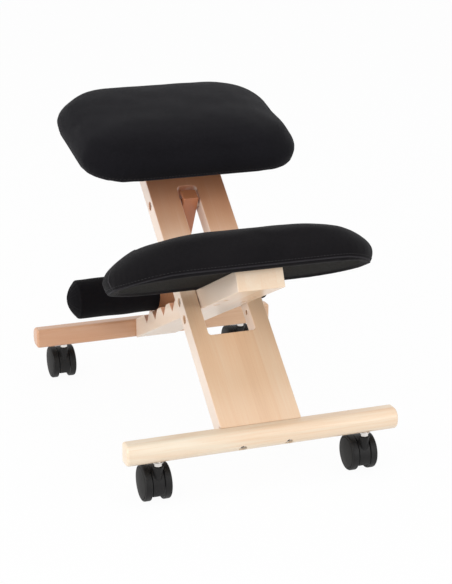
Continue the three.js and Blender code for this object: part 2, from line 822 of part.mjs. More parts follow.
const blockScrewReach = blockScrewGrip + gap;
const blockScrewTool = (x) => rodUp(screwRadius + gap, x, 0, -boardThickness, blockScrewReach, smallSides)
  .rotate([THREE.MathUtils.radToDeg(wedge), 0, 0])
  .translate([0, -blockScrewAhead * Math.cos(wedge), -blockScrewAhead * Math.sin(wedge)]);
const block = cut(supportBlock(), [-blockScrewSide, blockScrewSide].map(blockScrewTool));
seatFrame.add(named('seat_support_block', block, beech));

const seatMiddle = new THREE.Group();
seatMiddle.position.set(0, -seatAhead, gap);
const seatPly = seatScrewPlaces.map(([x, y]) => [x, y + seatAhead]);
seatMiddle.add(
  named('seat_base_board', plyBoard(seatPad, seatPly), plywood),
  named('seat_cushion', cushion(seatPad), cloth),
);
seatFrame.add(seatMiddle);
seatScrewPlaces.forEach(([x, y], index) => {
  const seat = underBlock(y) + seatScrewSink - gap;
  const screw = named(`seat_screw_${index + 1}`, woodScrew(screwBite + gap - seat), steel);
  screw.position.set(x, y, seat);
  seatFrame.add(screw);
});

beamFrame.add(named('knee_beam', kneeBeam(), beech), ...beamBolts);
const kneeMiddle = new THREE.Group();
kneeMiddle.position.set(0, -kneeCentreAhead, beamTop + gap);
const kneePly = kneeScrewPlaces.map(([x, y]) => [x, y + kneeCentreAhead]);
kneeMiddle.add(
  named('knee_base_board', plyBoard(kneePad, kneePly), plywood),
  named('knee_cushion', cushion(kneePad), cloth),
);
beamFrame.add(kneeMiddle);
kneeScrewPlaces.forEach(([x, y], index) => {
  const seat = kneeScrewSink - beamTop - gap;
  const screw = named(`knee_screw_${index + 1}`, woodScrew(beamTop + screwBite - seat), steel);
  screw.position.set(x, y, seat);
  beamFrame.add(screw);
});

const rod = named('roll_rod', rodAcross(rodRadius, -rodReach, rodReach, 0, 0), steel);
rod.position.y = rollAt;
const rightRoll = named('ankle_roll_right', ankleRoll(), cloth);
rightRoll.position.y = rollAt;
const leftRoll = named('ankle_roll_left', ankleRoll(), cloth);
leftRoll.position.y = rollAt;
leftRoll.rotation.z = Math.PI;
propFrame.add(named('prop_strut', propStrut(), beech), rod, rightRoll, leftRoll);

const chair = new THREE.Group();
chair.add(
  frontBar,
  rearBar,
  boardFrame,
  seatFrame,
  beamFrame,
  propFrame,
  ...caster('front_left', -casterSide, 0),
  ...caster('front_right', casterSide, 0),
  ...caster('rear_left', -casterSide, barSpacing),
  ...caster('rear_right', casterSide, barSpacing),
);
chair.updateMatrixWorld(true);
const extent = new THREE.Box3().setFromObject(chair, true);
const middle = extent.getCenter(new THREE.Vector3());
chair.position.set(-middle.x, -middle.y, -extent.min.z);

export default chair;
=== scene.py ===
# %% [markdown]
# # A beech kneeling chair
# This lesson dresses a chair whose solids and joints are already made. The beech members get fine edges
# and grain, the cushions are puffed up as cloth, and the fittings get their metal and plastic.

import math

import bmesh
import bpy
from mathutils import Matrix, Vector, noise
from mathutils.bvhtree import BVHTree
from mathutils.kdtree import KDTree


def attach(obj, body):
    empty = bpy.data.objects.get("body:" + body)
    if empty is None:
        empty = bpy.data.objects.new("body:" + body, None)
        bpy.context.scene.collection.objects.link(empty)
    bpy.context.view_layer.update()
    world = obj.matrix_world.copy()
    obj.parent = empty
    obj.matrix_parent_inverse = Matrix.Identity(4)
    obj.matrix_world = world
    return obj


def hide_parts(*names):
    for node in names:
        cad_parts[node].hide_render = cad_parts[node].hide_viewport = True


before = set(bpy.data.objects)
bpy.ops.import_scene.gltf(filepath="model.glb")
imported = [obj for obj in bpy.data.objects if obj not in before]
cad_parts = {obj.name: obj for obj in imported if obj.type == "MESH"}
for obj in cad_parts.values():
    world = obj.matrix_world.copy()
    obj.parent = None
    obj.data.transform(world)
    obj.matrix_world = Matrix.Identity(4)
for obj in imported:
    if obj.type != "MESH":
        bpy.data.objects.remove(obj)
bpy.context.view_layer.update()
MM = 0.001

# %% [markdown]
# ## Member frames
# Every beech member has a frame of its own, with local Y along the member and local Z its upper
# normal. It is drawn flat and turned into place at the end. The sizes are in millimetres.

# %% Sizes of the members
QUARTER = math.pi / 2
GAP = 0.3
BAR_Y, BAR_Z = -320.3, 94.5
BAR_LENGTH, BAR_HEIGHT, BAR_DEPTH = 480, 37, 34
BAR_OUTER_ROUND, BAR_INNER_ROUND, BAR_END_ROUND = 16, 5.2, 5
BAR_SPACING = 604.6
BAR_TOP, BAR_FACE = BAR_HEIGHT / 2, BAR_DEPTH / 2
BOARD_SLOPE, SEAT_TILT = math.radians(39.1), math.radians(11.8)
BOARD_WIDTH, BOARD_THICKNESS, BOARD_LENGTH, BOARD_TOE, BOARD_NOSE = 144, 33, 610, 8.4, 10
WIDE_SLOT, NARROW_SLOT = 85, 36
SLOT_START, SLOT_STEP, SLOT_END, SLOT_ROUND = 181, 300, 497, 5
SPARE_HOLE, MAIN_PIVOT, PROP_PIVOT = 226.4, 262.2, 470.5
BEAM_WIDTH, BEAM_THICKNESS, BEAM_REACH = 82, 35, 226
NOTCHES, NOTCH_AHEAD, NOTCH_PITCH, NOTCH_DEPTH = 4, 79.5, 58.5, 17.5
PROP_NECK, PROP_FOOT, PROP_THICKNESS, PROP_HEAD, PROP_SHOULDER, PROP_ROUND = 28, 60, 24, 21, 150, 8
ROLL_RADIUS, ROLL_REACH, ROLL_DOME, ROLL_ROUND = 36.5, 192, 16, 6
HUB_HEIGHT, CASTER_SIDE, STEM_AHEAD = 31, 184, 22
print("bar", BAR_LENGTH, "board", BOARD_LENGTH, "beam", BEAM_WIDTH, "mm")

# %% Bores and fastener places
BOLT_BORE, BOLT_RECESS, BOLT_SINK, BOLT_REACH = 4.3, 7.2, 12, 50
FRONT_BOLTS, REAR_BOLTS = (-41, 41), (-22, 22)
PIVOT_RECESS, PIVOT_SINK, NUT_BORE, NUT_LENGTH = 7.6, 8, 5.9, 14
STEM_BORE, STEM_DEPTH, ROD_BORE = 6.3, 11.8, 6.3
SCREW_BORE, SCREW_RECESS = 2.7, 6.5
KNEE_SCREWS, KNEE_SINK = [(x, y) for x in (-25, 25) for y in (-116, -60)], 14
BLOCK_SCREWS, BLOCK_SINK = [(x, BOARD_LENGTH - 44) for x in (-14, 14)], 8
print(len(FRONT_BOLTS + REAR_BOLTS), "bolts,", len(KNEE_SCREWS + BLOCK_SCREWS), "screws")


# %% Frames of the members
def member_frame(y, z, slope):
    return Matrix.Translation((0, y, z)) @ Matrix.Rotation(slope, 4, "X")


def point_in(member, y, z):
    return member.inverted() @ Vector((0, y, z))


board = member_frame(BAR_Y + BOARD_TOE, BAR_Z + BAR_TOP + GAP, BOARD_SLOPE)
main_pivot = board @ Vector((0, MAIN_PIVOT, -BOARD_THICKNESS / 2))
prop_pivot = board @ Vector((0, PROP_PIVOT, -BOARD_THICKNESS / 2))
rear_face = BAR_Y + BAR_SPACING - BAR_FACE
beam_run = Vector((0, rear_face, BAR_Z)) - main_pivot
beam_slope = math.atan2(beam_run.z, beam_run.y)
beam = member_frame(main_pivot.y, main_pivot.z, beam_slope)
BEAM_TOP = BEAM_THICKNESS / 2
FIRST_NOTCH = beam_run.length - NOTCH_AHEAD
first_notch = beam @ Vector((0, FIRST_NOTCH, BEAM_TOP - NOTCH_DEPTH))
prop_run = first_notch - prop_pivot
prop_face = PROP_THICKNESS / 2 + GAP
prop_slope = math.atan2(prop_run.z, prop_run.y) + math.asin(prop_face / prop_run.length)
prop = member_frame(prop_pivot.y, prop_pivot.z, prop_slope)
PROP_LENGTH = point_in(prop, first_notch.y, first_notch.z).y - GAP
notch_slope = beam_slope - prop_slope
seat_corner = board @ Vector((0, BOARD_LENGTH, 0))
seat = member_frame(seat_corner.y, seat_corner.z, SEAT_TILT)
roll_lift = ROLL_RADIUS + GAP + NOTCH_DEPTH - prop_face * math.cos(notch_slope)
roll_at = PROP_LENGTH - roll_lift / math.sin(notch_slope)
print("beam slope", round(math.degrees(beam_slope), 2), "prop slope", round(math.degrees(prop_slope), 2),
      "main pivot", [round(v, 1) for v in main_pivot])

# %% [markdown]
# ## Camera
# The camera stands a little to the left of the front and above the seat, with a long lens.

# %% Camera
CAMERA_AIM, CAMERA_DISTANCE = Vector((0.02106, -0.0803, 0.2692)), 2.9253
azimuth, elevation = math.radians(-19.94), math.radians(18.09)


def in_scene(name, data):
    made = bpy.data.objects.new(name, data)
    bpy.context.scene.collection.objects.link(made)
    return made


camera_data = bpy.data.cameras.new("camera")
camera_data.lens = 102.44
camera_data.sensor_width = 36
camera_data.clip_end = 50
camera = in_scene("camera", camera_data)
back = Vector((math.sin(azimuth) * math.cos(elevation), -math.cos(azimuth) * math.cos(elevation),
               math.sin(elevation)))
camera.location = CAMERA_AIM + back * CAMERA_DISTANCE
camera.rotation_euler = back.to_track_quat("Z", "Y").to_euler()
bpy.context.scene.camera = camera
print("camera at", [round(v, 3) for v in camera.location])

# %% [markdown]
# ## Node helpers
# Materials and Geometry Nodes are both node trees. Small helpers add a node and fill its sockets.


# %% Adding nodes
def set_sockets(tree, node, sockets):
    for key, value in sockets.items():
        if isinstance(value, bpy.types.NodeSocket):
            tree.links.new(value, node.inputs[key])
        else:
            node.inputs[key].default_value = value


def add(tree, kind, sockets=None, **options):
    node = tree.nodes.new(kind)
    for key, value in options.items():
        setattr(node, key, value)
    set_sockets(tree, node, sockets or {})
    return node


def out(tree, kind, sockets=None, **options):
    return add(tree, kind, sockets, **options).outputs[0]


def calc(tree, operation, a, b=0.0, clamp=False):
    return out(tree, "ShaderNodeMath", {0: a, 1: b}, operation=operation, use_clamp=clamp)


def times(tree, a, b, clamp=False):
    return calc(tree, "MULTIPLY", a, b, clamp)


def weighted(tree, parts, total=0.0, clamp=False):
    for socket, weight in parts:
        node = add(tree, "ShaderNodeMath", {0: socket, 1: weight, 2: total}, operation="MULTIPLY_ADD")
        total = node.outputs[0]
    node.use_clamp = clamp
    return total


def mapping(tree, vector, kind="POINT", **sockets):
    return out(tree, "ShaderNodeMapping", {"Vector": vector, **sockets}, vector_type=kind)


def split(tree, vector):
    return add(tree, "ShaderNodeSeparateXYZ", {0: vector}).outputs


def merged(tree, x, y, z):
    return out(tree, "ShaderNodeCombineXYZ", {0: x, 1: y, 2: z})


def noisy(tree, vector, scale, detail, **sockets):
    return out(tree, "ShaderNodeTexNoise", {"Vector": vector, "Scale": scale, "Detail": detail, **sockets})


print("node helpers ready")


# %% Colours and shading
def linear(*colour):
    shares = [value / 255 for value in colour]
    return tuple(share / 12.92 if share <= 0.04045 else ((share + 0.055) / 1.055) ** 2.4
                 for share in shares)


def ramp(tree, factor, stops):
    node = add(tree, "ShaderNodeValToRGB", {0: factor})
    while len(node.color_ramp.elements) < len(stops):
        node.color_ramp.elements.new(0.5)
    for element, (place, colour) in zip(node.color_ramp.elements, stops):
        element.position = place
        element.color = (*colour, 1)
    return node.outputs[0]


def mixed_colour(tree, share, first, second):
    return add(tree, "ShaderNodeMix", {0: share, 6: first, 7: (*second, 1)}, data_type="RGBA").outputs[2]


def new_material(name):
    material = bpy.data.materials.new(name)
    material.use_nodes = True
    return material, material.node_tree, add(material.node_tree, "ShaderNodeTexCoord").outputs


def shade(tree, colour, roughness, height, strength, distance, sockets):
    bump = out(tree, "ShaderNodeBump", {"Height": height, "Strength": strength, "Distance": distance})
    set_sockets(tree, tree.nodes["Principled BSDF"], {
        "Base Color": colour, "Roughness": roughness, "Normal": bump, **sockets})


print("shading helpers ready")

# %% [markdown]
# ## Beech
# The members are glued up from beech staves under clear lacquer. Beech has slow bands of tone along
# the grain, faint streaks, and short flecks where the rays are cut. Light is painted in as well: the
# side faces get a pale painted highlight, and a red-brown painted shade lies where a member sits in
# shade and on the notch walls of the rack. All of it is computed in the member's own frame, so the
# grain runs along it.

# %% Beech material
PALE, WARM, DEEP = linear(240, 225, 202), linear(233, 196, 160), linear(202, 152, 114)
# Painted light: the pale colour next is a painted highlight for the side faces, and the red-brown one is
# painted shade.
SIDE_HIGHLIGHT_COLOUR, SHADE_BROWN = linear(246, 229, 214), linear(194, 114, 72)
JOINT_WIDTH = 0.2 * MM


def beech(name, place, slope=0.0, turn=0.0, stave=0.036, tone=0.5, side_highlight_share=0.0, shade_span=None,
          notch_shade_share=0.0, figure=1.0):
    material, tree, source = new_material(name)
    turned_by = Matrix.Rotation(turn, 4, "Z") @ Matrix.Rotation(-slope, 4, "X")
    local = mapping(tree, source["Object"], Rotation=turned_by.to_euler(),
                    Location=-(turned_by @ (Vector(place) * MM)))
    across_place, along_place, _ = split(tree, local)
    across = calc(tree, "DIVIDE", across_place, stave)
    stave_tone = out(tree, "ShaderNodeTexWhiteNoise", {"W": calc(tree, "FLOOR", across)},
                     noise_dimensions="1D")
    shift = merged(tree, 0.0, times(tree, stave_tone, 3.0), 0.0)
    moved = out(tree, "ShaderNodeVectorMath", {0: local, 1: shift}, operation="ADD")

    def grain(across_scale, along_scale, detail, distortion=0.0):
        stretched = mapping(tree, moved, Scale=(across_scale, along_scale, across_scale))
        return noisy(tree, stretched, 1.0, detail, Distortion=distortion)

    bands = grain(22, 2.4, 2.0, 0.8)
    streaks = grain(420, 9, 3.0)
    flecks = grain(1300, 260, 1.0)
    fleck = times(tree, calc(tree, "SUBTRACT", flecks, 0.62, clamp=True), 3.0, clamp=True)
    edge = calc(tree, "ABSOLUTE", calc(tree, "SUBTRACT", calc(tree, "FRACT", across), 0.5))
    joint = calc(tree, "GREATER_THAN", edge, 0.5 - JOINT_WIDTH / stave)
    depth = weighted(tree, [(bands, 0.34 * figure), (streaks, 0.2 * figure), (stave_tone, 0.1),
                            (fleck, 0.22), (joint, 0.08)], tone - 0.05 - 0.27 * figure, clamp=True)
    colour = ramp(tree, depth, [(0.1, PALE), (0.5, WARM), (0.95, DEEP)])
    # Painted shade: over a span along the member the colour turns red-brown, where the member sits in shade.
    if shade_span:
        low, high, first, last = shade_span
        reach = out(tree, "ShaderNodeMapRange", {
            "Value": weighted(tree, [(bands, 0.06)], along_place),
            "From Min": low, "From Max": high, "To Min": first, "To Max": last},
            interpolation_type="SMOOTHSTEP")
        colour = mixed_colour(tree, reach, colour, SHADE_BROWN)
    # Painted shade: faces that look along the member, behind the pivot, turn red-brown, which darkens the notch
    # walls of the rack.
    if notch_shade_share:
        facing = mapping(tree, source["Normal"], "VECTOR", Rotation=turned_by.to_euler())
        notch_shade = times(tree, calc(tree, "ABSOLUTE", split(tree, facing)[1]),
                          calc(tree, "GREATER_THAN", along_place, 0.0))
        colour = mixed_colour(tree, times(tree, notch_shade, notch_shade_share), colour, SHADE_BROWN)
    # Painted highlight: faces turned to either side are mixed towards a pale colour, in place of the reflection
    # of the light from the left.
    if side_highlight_share:
        facing = calc(tree, "ABSOLUTE", split(tree, source["Normal"])[0])
        side_highlight = calc(tree, "POWER", times(tree, facing, side_highlight_share, clamp=True), 2.0)
        colour = mixed_colour(tree, side_highlight, colour, SIDE_HIGHLIGHT_COLOUR)
    shade(tree, colour, weighted(tree, [(streaks, 0.16)], 0.26),
          weighted(tree, [(streaks, 0.6), (fleck, -0.5)]), 0.1, 0.0004,
          {"Coat Weight": 0.3, "Coat Roughness": 0.2})
    return material


front_bar_beech = beech("beech_front_bar", (0, BAR_Y, BAR_Z), turn=QUARTER, stave=0.3, tone=0.24,
                        figure=2.4)
# The rear bar is darker and redder than the front bar, most of all at its left end: painted shade.
shaded_rear_bar_beech = beech("beech_rear_bar", (0, BAR_Y + BAR_SPACING, BAR_Z), turn=QUARTER, stave=0.3,
                       tone=0.55, shade_span=(-0.1, 0.22, 0.42, 0.1), figure=1.6)
# The board turns red-brown towards its top: painted shade under the seat.
board_beech = beech("beech_board", board.translation, BOARD_SLOPE, tone=0.5, side_highlight_share=0.9,
                    shade_span=(0.3, 0.56, 0.0, 0.75))
# The beam's side faces get the painted highlight, and its notch walls painted shade.
beam_beech = beech("beech_beam", beam.translation, beam_slope, stave=0.0273, tone=0.34,
                   side_highlight_share=0.75, notch_shade_share=0.75)
# The prop turns red-brown towards its pivot: painted shade in the slot under the seat.
prop_beech = beech("beech_prop", prop.translation, prop_slope, stave=0.03, tone=0.8,
                   shade_span=(0.05, 0.25, 0.8, 0.2))
block_beech = beech("beech_block", seat.translation, SEAT_TILT, turn=QUARTER, stave=0.05, tone=0.7)
print("beech materials made")

# %% [markdown]
# ## Cloth
# The cushions wear a near-black cloth. Threads run in three directions, and each direction fades on
# the faces that it runs into, so that two sets cross at right angles everywhere. The threads are only
# a little apart in colour: most of what the eye sees is the soft sheen and a faint mottle.


# %% Cloth material
def cloth(name, low, high, pitch, slope=0.0, sheen=0.07):
    material, tree, source = new_material(name)
    local = mapping(tree, source["Object"], Rotation=(-slope, 0, 0))
    normal = split(tree, mapping(tree, source["Normal"], "VECTOR", Rotation=(-slope, 0, 0)))
    weave = 0.0
    for axis, direction in enumerate("XYZ"):
        wave = add(tree, "ShaderNodeTexWave", {
            "Vector": local, "Scale": math.tau / 20 / pitch, "Distortion": 0.6, "Detail": 1.0,
            "Detail Scale": 2.0}, bands_direction=direction).outputs["Fac"]
        beside = calc(tree, "SUBTRACT", 1.0, calc(tree, "ABSOLUTE", normal[axis]), clamp=True)
        weave = calc(tree, "MAXIMUM", times(tree, wave, beside), weave)
    mottle = noisy(tree, local, 160.0, 3.0, Roughness=0.7)
    clouds = noisy(tree, local, 14.0, 2.0)
    light = weighted(tree, [(weave, 0.45), (mottle, 0.55), (clouds, 0.5)], -0.42, clamp=True)
    shade(tree, ramp(tree, light, [(0.0, linear(*low)), (1.0, linear(*high))]), 0.9,
          weighted(tree, [(mottle, 0.7)], weave), 0.5, 0.0005,
          {"Specular IOR Level": 0.08, "Sheen Weight": sheen, "Sheen Roughness": 0.35})
    return material


seat_cloth = cloth("seat_cloth", (15, 14, 17), (29, 28, 32), 0.0016, SEAT_TILT)
knee_cloth = cloth("knee_cloth", (16, 15, 17), (30, 28, 30), 0.0016, beam_slope)
roll_cloth = cloth("roll_cloth", (12, 11, 13), (23, 21, 24), 0.0014, prop_slope, sheen=0.05)
lining_cloth = cloth("lining_cloth", (20, 19, 17), (29, 28, 25), 0.001, sheen=0.02)
piping_cloth = cloth("piping_cloth", (36, 34, 37), (58, 56, 59), 0.0012)
thread = cloth("seam_thread", (52, 50, 52), (74, 72, 74), 0.0008)
print("cloth materials made")

# %% [markdown]
# ## Metal and plastic
# The bolts are bright zinc, the casters black nylon, and the wheel discs a slightly greyer plastic.
# Broad patches shift the colour a little, and a fine speckle changes the gloss and gives the bump.


# %% Metal and plastic materials
def plain(name, low, high, scale, rough, grain, metallic=0.0, specular=0.5):
    material, tree, source = new_material(name)
    speckle = noisy(tree, source["Object"], scale, 3.0)
    patches = noisy(tree, source["Object"], scale / 12, 2.0)
    shade(tree, ramp(tree, patches, [(0.3, linear(*low)), (0.7, linear(*high))]),
          weighted(tree, [(speckle, 0.2)], rough - 0.1), speckle, grain, 0.0002,
          {"Metallic": metallic, "Specular IOR Level": specular})
    return material


zinc = plain("zinc_steel", (214, 210, 206), (236, 232, 228), 900, 0.3, 0.05, metallic=1.0)
nylon = plain("black_nylon", (19, 18, 18), (27, 26, 26), 700, 0.5, 0.25, specular=0.25)
disc_plastic = plain("disc_plastic", (26, 25, 24), (35, 34, 33), 700, 0.6, 0.2, specular=0.2)
print("fittings materials made")

# %% [markdown]
# ## Mesh helpers
# The hard parts are prisms of an outline, lofts of rings, and turned shapes, which are lofts of
# circles. Holes are drilled with a turned tool, after the long edges have been rounded.


# %% Outlines and lofts
def rounded(corners, steps=8):
    points = []
    for index, (x, y, radius) in enumerate(corners):
        corner = Vector((x, y))
        if radius == 0:
            points.append(corner)
            continue
        before = (Vector(corners[index - 1][:2]) - corner).normalized()
        after = (Vector(corners[(index + 1) % len(corners)][:2]) - corner).normalized()
        half = before.angle(after) / 2
        centre = corner + (before + after).normalized() * (radius / math.sin(half))
        start = corner + before * (radius / math.tan(half)) - centre
        end = corner + after * (radius / math.tan(half)) - centre
        points += [centre + start.slerp(end, step / steps).normalized() * radius
                   for step in range(steps + 1)]
    return points


def symmetric(right):
    left = [(-x, y, radius) for x, y, radius in right[::-1]]
    return rounded([left[-1], *right, *left[:-1]])


def arc(radius, height, bend, first, steps):
    angles = [first + QUARTER * step / steps for step in range(steps + 1)]
    return [(radius + bend * math.cos(angle), height + bend * math.sin(angle)) for angle in angles]


def lofted(rings, closed=False):
    shape = bmesh.new()
    made = [[shape.verts.new(point) for point in ring] for ring in rings]
    pairs = list(zip(made, made[1:]))
    if closed:
        pairs.append((made[-1], made[0]))
    for low, high in pairs:
        count = max(len(low), len(high))
        for step in range(count):
            quad = list(dict.fromkeys((low[step % len(low)], low[(step + 1) % len(low)],
                                       high[(step + 1) % len(high)], high[step % len(high)])))
            if len(quad) > 2:
                shape.faces.new(quad)
    if not closed:
        for ring in (made[0], made[-1]):
            if len(ring) > 2:
                shape.faces.new(ring)
    bmesh.ops.recalc_face_normals(shape, faces=shape.faces)
    return shape


def turned(profile, sides=48, closed=False):
    circle = [(math.cos(math.tau * k / sides), math.sin(math.tau * k / sides)) for k in range(sides)]
    return lofted([[(radius * x, radius * y, height) for x, y in (circle if radius else circle[:1])]
                   for radius, height in profile], closed)


def bore(*steps):
    profile = [(0, steps[0][1])]
    for radius, low, high in steps:
        profile += [(radius, low), (radius, high)]
    return turned(profile + [(0, steps[-1][2])])


def prism(outline, width):
    return lofted([[(x, y, z) for y, z in outline] for x in (-width / 2, width / 2)])


def slab(outline, low, high):
    return lofted([[(x, y, z) for x, y in outline] for z in (low, high)])


print("shape helpers ready")

# %% Objects, drilling and finishing
ACROSS = Matrix.Rotation(QUARTER, 4, "Y")
ALONG = Matrix.Rotation(-QUARTER, 4, "X")
TO_METRES = Matrix.Scale(MM, 4)


def in_metres(matrix):
    return TO_METRES @ matrix @ TO_METRES.inverted()


def moved_to(x, y, z):
    return Matrix.Translation((x, y, z))


def at(shape, matrix):
    bmesh.ops.transform(shape, matrix=matrix, verts=shape.verts)
    return shape


def as_object(shape, name):
    mesh = bpy.data.meshes.new(name)
    shape.to_mesh(mesh)
    shape.free()
    return in_scene(name, mesh)


def applied(piece):
    graph = bpy.context.evaluated_depsgraph_get()
    mesh = bpy.data.meshes.new_from_object(piece.evaluated_get(graph))
    piece.modifiers.clear()
    piece.data = mesh
    return piece


def subdivided(piece):
    finer = piece.modifiers.new("finer", "SUBSURF")
    finer.levels = finer.render_levels = 1
    return applied(piece)


def combined(piece, tool_shapes, operation="DIFFERENCE"):
    tools = [as_object(shape, "tool") for shape in tool_shapes]
    for tool in tools:
        modifier = piece.modifiers.new("cut", "BOOLEAN")
        modifier.operation = operation
        modifier.solver = "EXACT"
        modifier.object = tool
    applied(piece)
    for tool in tools:
        bpy.data.objects.remove(tool)
    return piece


def rounded_edges(piece, width, segments=3, limit=28):
    shape = bmesh.new()
    shape.from_mesh(piece.data)
    bmesh.ops.dissolve_limit(shape, angle_limit=math.radians(0.5), verts=shape.verts, edges=shape.edges)
    sharp = [edge for edge in shape.edges
             if len(edge.link_faces) == 2 and edge.calc_face_angle(0) > math.radians(limit)]
    bmesh.ops.bevel(shape, geom=sharp, offset=width, segments=segments, profile=0.5, affect="EDGES",
                    clamp_overlap=False)
    shape.to_mesh(piece.data)
    shape.free()
    return piece


def dressed(piece, body, nodes=(), material=None, sharp=None):
    if material:
        piece.data.materials.clear()
        piece.data.materials.append(material)
    piece.data.shade_smooth()
    if sharp:
        piece.data.set_sharp_from_angle(angle=math.radians(sharp))
    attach(piece, body)
    if nodes:
        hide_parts(*nodes)
    print(piece.name, len(piece.data.polygons), "faces")
    return piece


def finished(piece, place, body, material, nodes, sharp=40):
    piece.data.transform(TO_METRES @ place)
    piece.modifiers.new("even_shading", "WEIGHTED_NORMAL").keep_sharp = True
    return dressed(piece, body, nodes, material, sharp)


print("object helpers ready")

# %% [markdown]
# ## Crossbars
# Both crossbars are the same D-shaped bar: the outer side is well rounded, the inner side nearly
# square, where the board and the beam butt against it. The section draws in at the soft ends. Two
# recesses take the bolt heads, along the slope of the member that the bolts hold.


# %% Crossbars
def bar_section(inset):
    outer, inner = -BAR_FACE + inset, BAR_FACE - inset
    low, high = -BAR_TOP + inset, BAR_TOP - inset
    return rounded([
        (outer, low, BAR_OUTER_ROUND - inset), (inner, low, BAR_INNER_ROUND - inset),
        (inner, high, BAR_INNER_ROUND - inset), (outer, high, BAR_OUTER_ROUND - inset)], 10)


def crossbar(name, node, bolt_slope, bolt_sides, place, body, material):
    rings = []
    for side in (-1, 1):
        steps = [QUARTER * k / 5 for k in range(6)]
        for angle in steps if side < 0 else steps[::-1]:
            inset = BAR_END_ROUND * (1 - math.sin(angle)) * 0.96
            x = side * (BAR_LENGTH / 2 - BAR_END_ROUND * (1 - math.cos(angle)))
            rings.append([(x, y, z) for y, z in bar_section(inset)])
    piece = as_object(lofted(rings), name)
    lean = moved_to(0, BAR_OUTER_ROUND - BAR_FACE, BAR_OUTER_ROUND - BAR_TOP)
    lean = lean @ Matrix.Rotation(bolt_slope, 4, "X") @ ALONG
    step = BOLT_SINK - BAR_OUTER_ROUND
    tools = [at(bore((BOLT_RECESS, -BAR_DEPTH, step), (BOLT_BORE, step, BAR_DEPTH)), moved_to(x, 0, 0) @ lean)
             for x in bolt_sides]
    tools += [at(bore((STEM_BORE, -BAR_TOP - 2, STEM_DEPTH)), moved_to(x, 0, 0))
              for x in (-CASTER_SIDE, CASTER_SIDE)]
    combined(piece, tools)
    return finished(piece, place, body, material, [node], 50)


rear_place = moved_to(0, BAR_Y + BAR_SPACING, BAR_Z) @ Matrix.Rotation(math.pi, 4, "Z")
crossbar("front_bar", "front_crossbar", BOARD_SLOPE, FRONT_BOLTS, moved_to(0, BAR_Y, BAR_Z),
         "seat_frame", front_bar_beech)
crossbar("rear_bar", "rear_crossbar", -beam_slope, REAR_BOLTS, rear_place, "knee_frame", shaded_rear_bar_beech)

# %% [markdown]
# ## Main board
# The board rises from the front crossbar to the seat. Its heel is stepped to sit over the bar, and its
# slot is wide where the knee beam crosses it and narrow where the prop swings.

# %% Main board
heel = point_in(board, BAR_Y + BAR_FACE + GAP, BAR_Z + BAR_TOP + GAP)
heel_run = (BOARD_THICKNESS + heel.z) * math.tan(BOARD_SLOPE)
wedge = BOARD_SLOPE - SEAT_TILT
tip = BOARD_LENGTH + BOARD_THICKNESS / math.tan(wedge) - BOARD_NOSE
board_piece = as_object(prism([
    (0, 0), (heel.y, heel.z), (heel.y - heel_run, -BOARD_THICKNESS), (tip, -BOARD_THICKNESS),
    (tip, BOARD_NOSE * math.tan(wedge) - BOARD_THICKNESS), (BOARD_LENGTH, 0)], BOARD_WIDTH),
    "slotted_board")
wide, narrow = WIDE_SLOT / 2, NARROW_SLOT / 2
combined(board_piece, [slab(symmetric([
    (wide, SLOT_START, SLOT_ROUND), (wide, SLOT_STEP, SLOT_ROUND), (narrow, SLOT_STEP, 0),
    (narrow, SLOT_END, 8)]), -BOARD_THICKNESS - 2, 2)])
rounded_edges(board_piece, 1.8)


def cross_hole(at_y, barrel):
    side = BOARD_WIDTH / 2
    mouth = [(PIVOT_RECESS + 4.8, side + 4), (PIVOT_RECESS + 0.8, side), (PIVOT_RECESS, side - 0.8),
             (PIVOT_RECESS, side - PIVOT_SINK)]
    profile = [(0, -side - 4)] + [(radius, -height) for radius, height in mouth]
    profile.append((BOLT_BORE, PIVOT_SINK - side))
    if barrel:
        step = side - PIVOT_SINK - NUT_LENGTH - GAP
        profile += [(BOLT_BORE, step), (NUT_BORE, step), (NUT_BORE, side - PIVOT_SINK)]
    else:
        profile.append((BOLT_BORE, side - PIVOT_SINK))
    profile += mouth[::-1] + [(0, side + 4)]
    return at(turned(profile), moved_to(0, at_y, -BOARD_THICKNESS / 2) @ ACROSS)


bolt_centre = point_in(board, BAR_Y + BAR_OUTER_ROUND - BAR_FACE, BAR_Z + BAR_OUTER_ROUND - BAR_TOP)
bolt_end = bolt_centre.y + BOLT_SINK - BAR_OUTER_ROUND + BOLT_REACH + GAP
tools = [cross_hole(SPARE_HOLE, False), cross_hole(MAIN_PIVOT, True), cross_hole(PROP_PIVOT, True)]
tools += [at(bore((BOLT_BORE, -40, bolt_end)), moved_to(x, 0, bolt_centre.z) @ ALONG) for x in FRONT_BOLTS]
low, step = -BOARD_THICKNESS - 2, BLOCK_SINK - BOARD_THICKNESS
tools += [at(bore((SCREW_RECESS, low, step), (SCREW_BORE, step, 2)), moved_to(x, y, 0))
          for x, y in BLOCK_SCREWS]
combined(board_piece, tools)
finished(board_piece, board, "seat_frame", board_beech, ["main_board"])

# %% [markdown]
# ## Knee beam
# The beam carries the knee pad in front and a rack of four sawtooth notches behind. Each notch has a
# steep wall that the prop leans on and a long slope that lets it ride out.

# %% Knee beam
front_run = NOTCH_DEPTH / math.tan(notch_slope)
rear_run = NOTCH_DEPTH * math.tan(notch_slope)


def beam_end(z):
    return (rear_face - GAP - main_pivot.y + z * math.sin(beam_slope)) / math.cos(beam_slope)


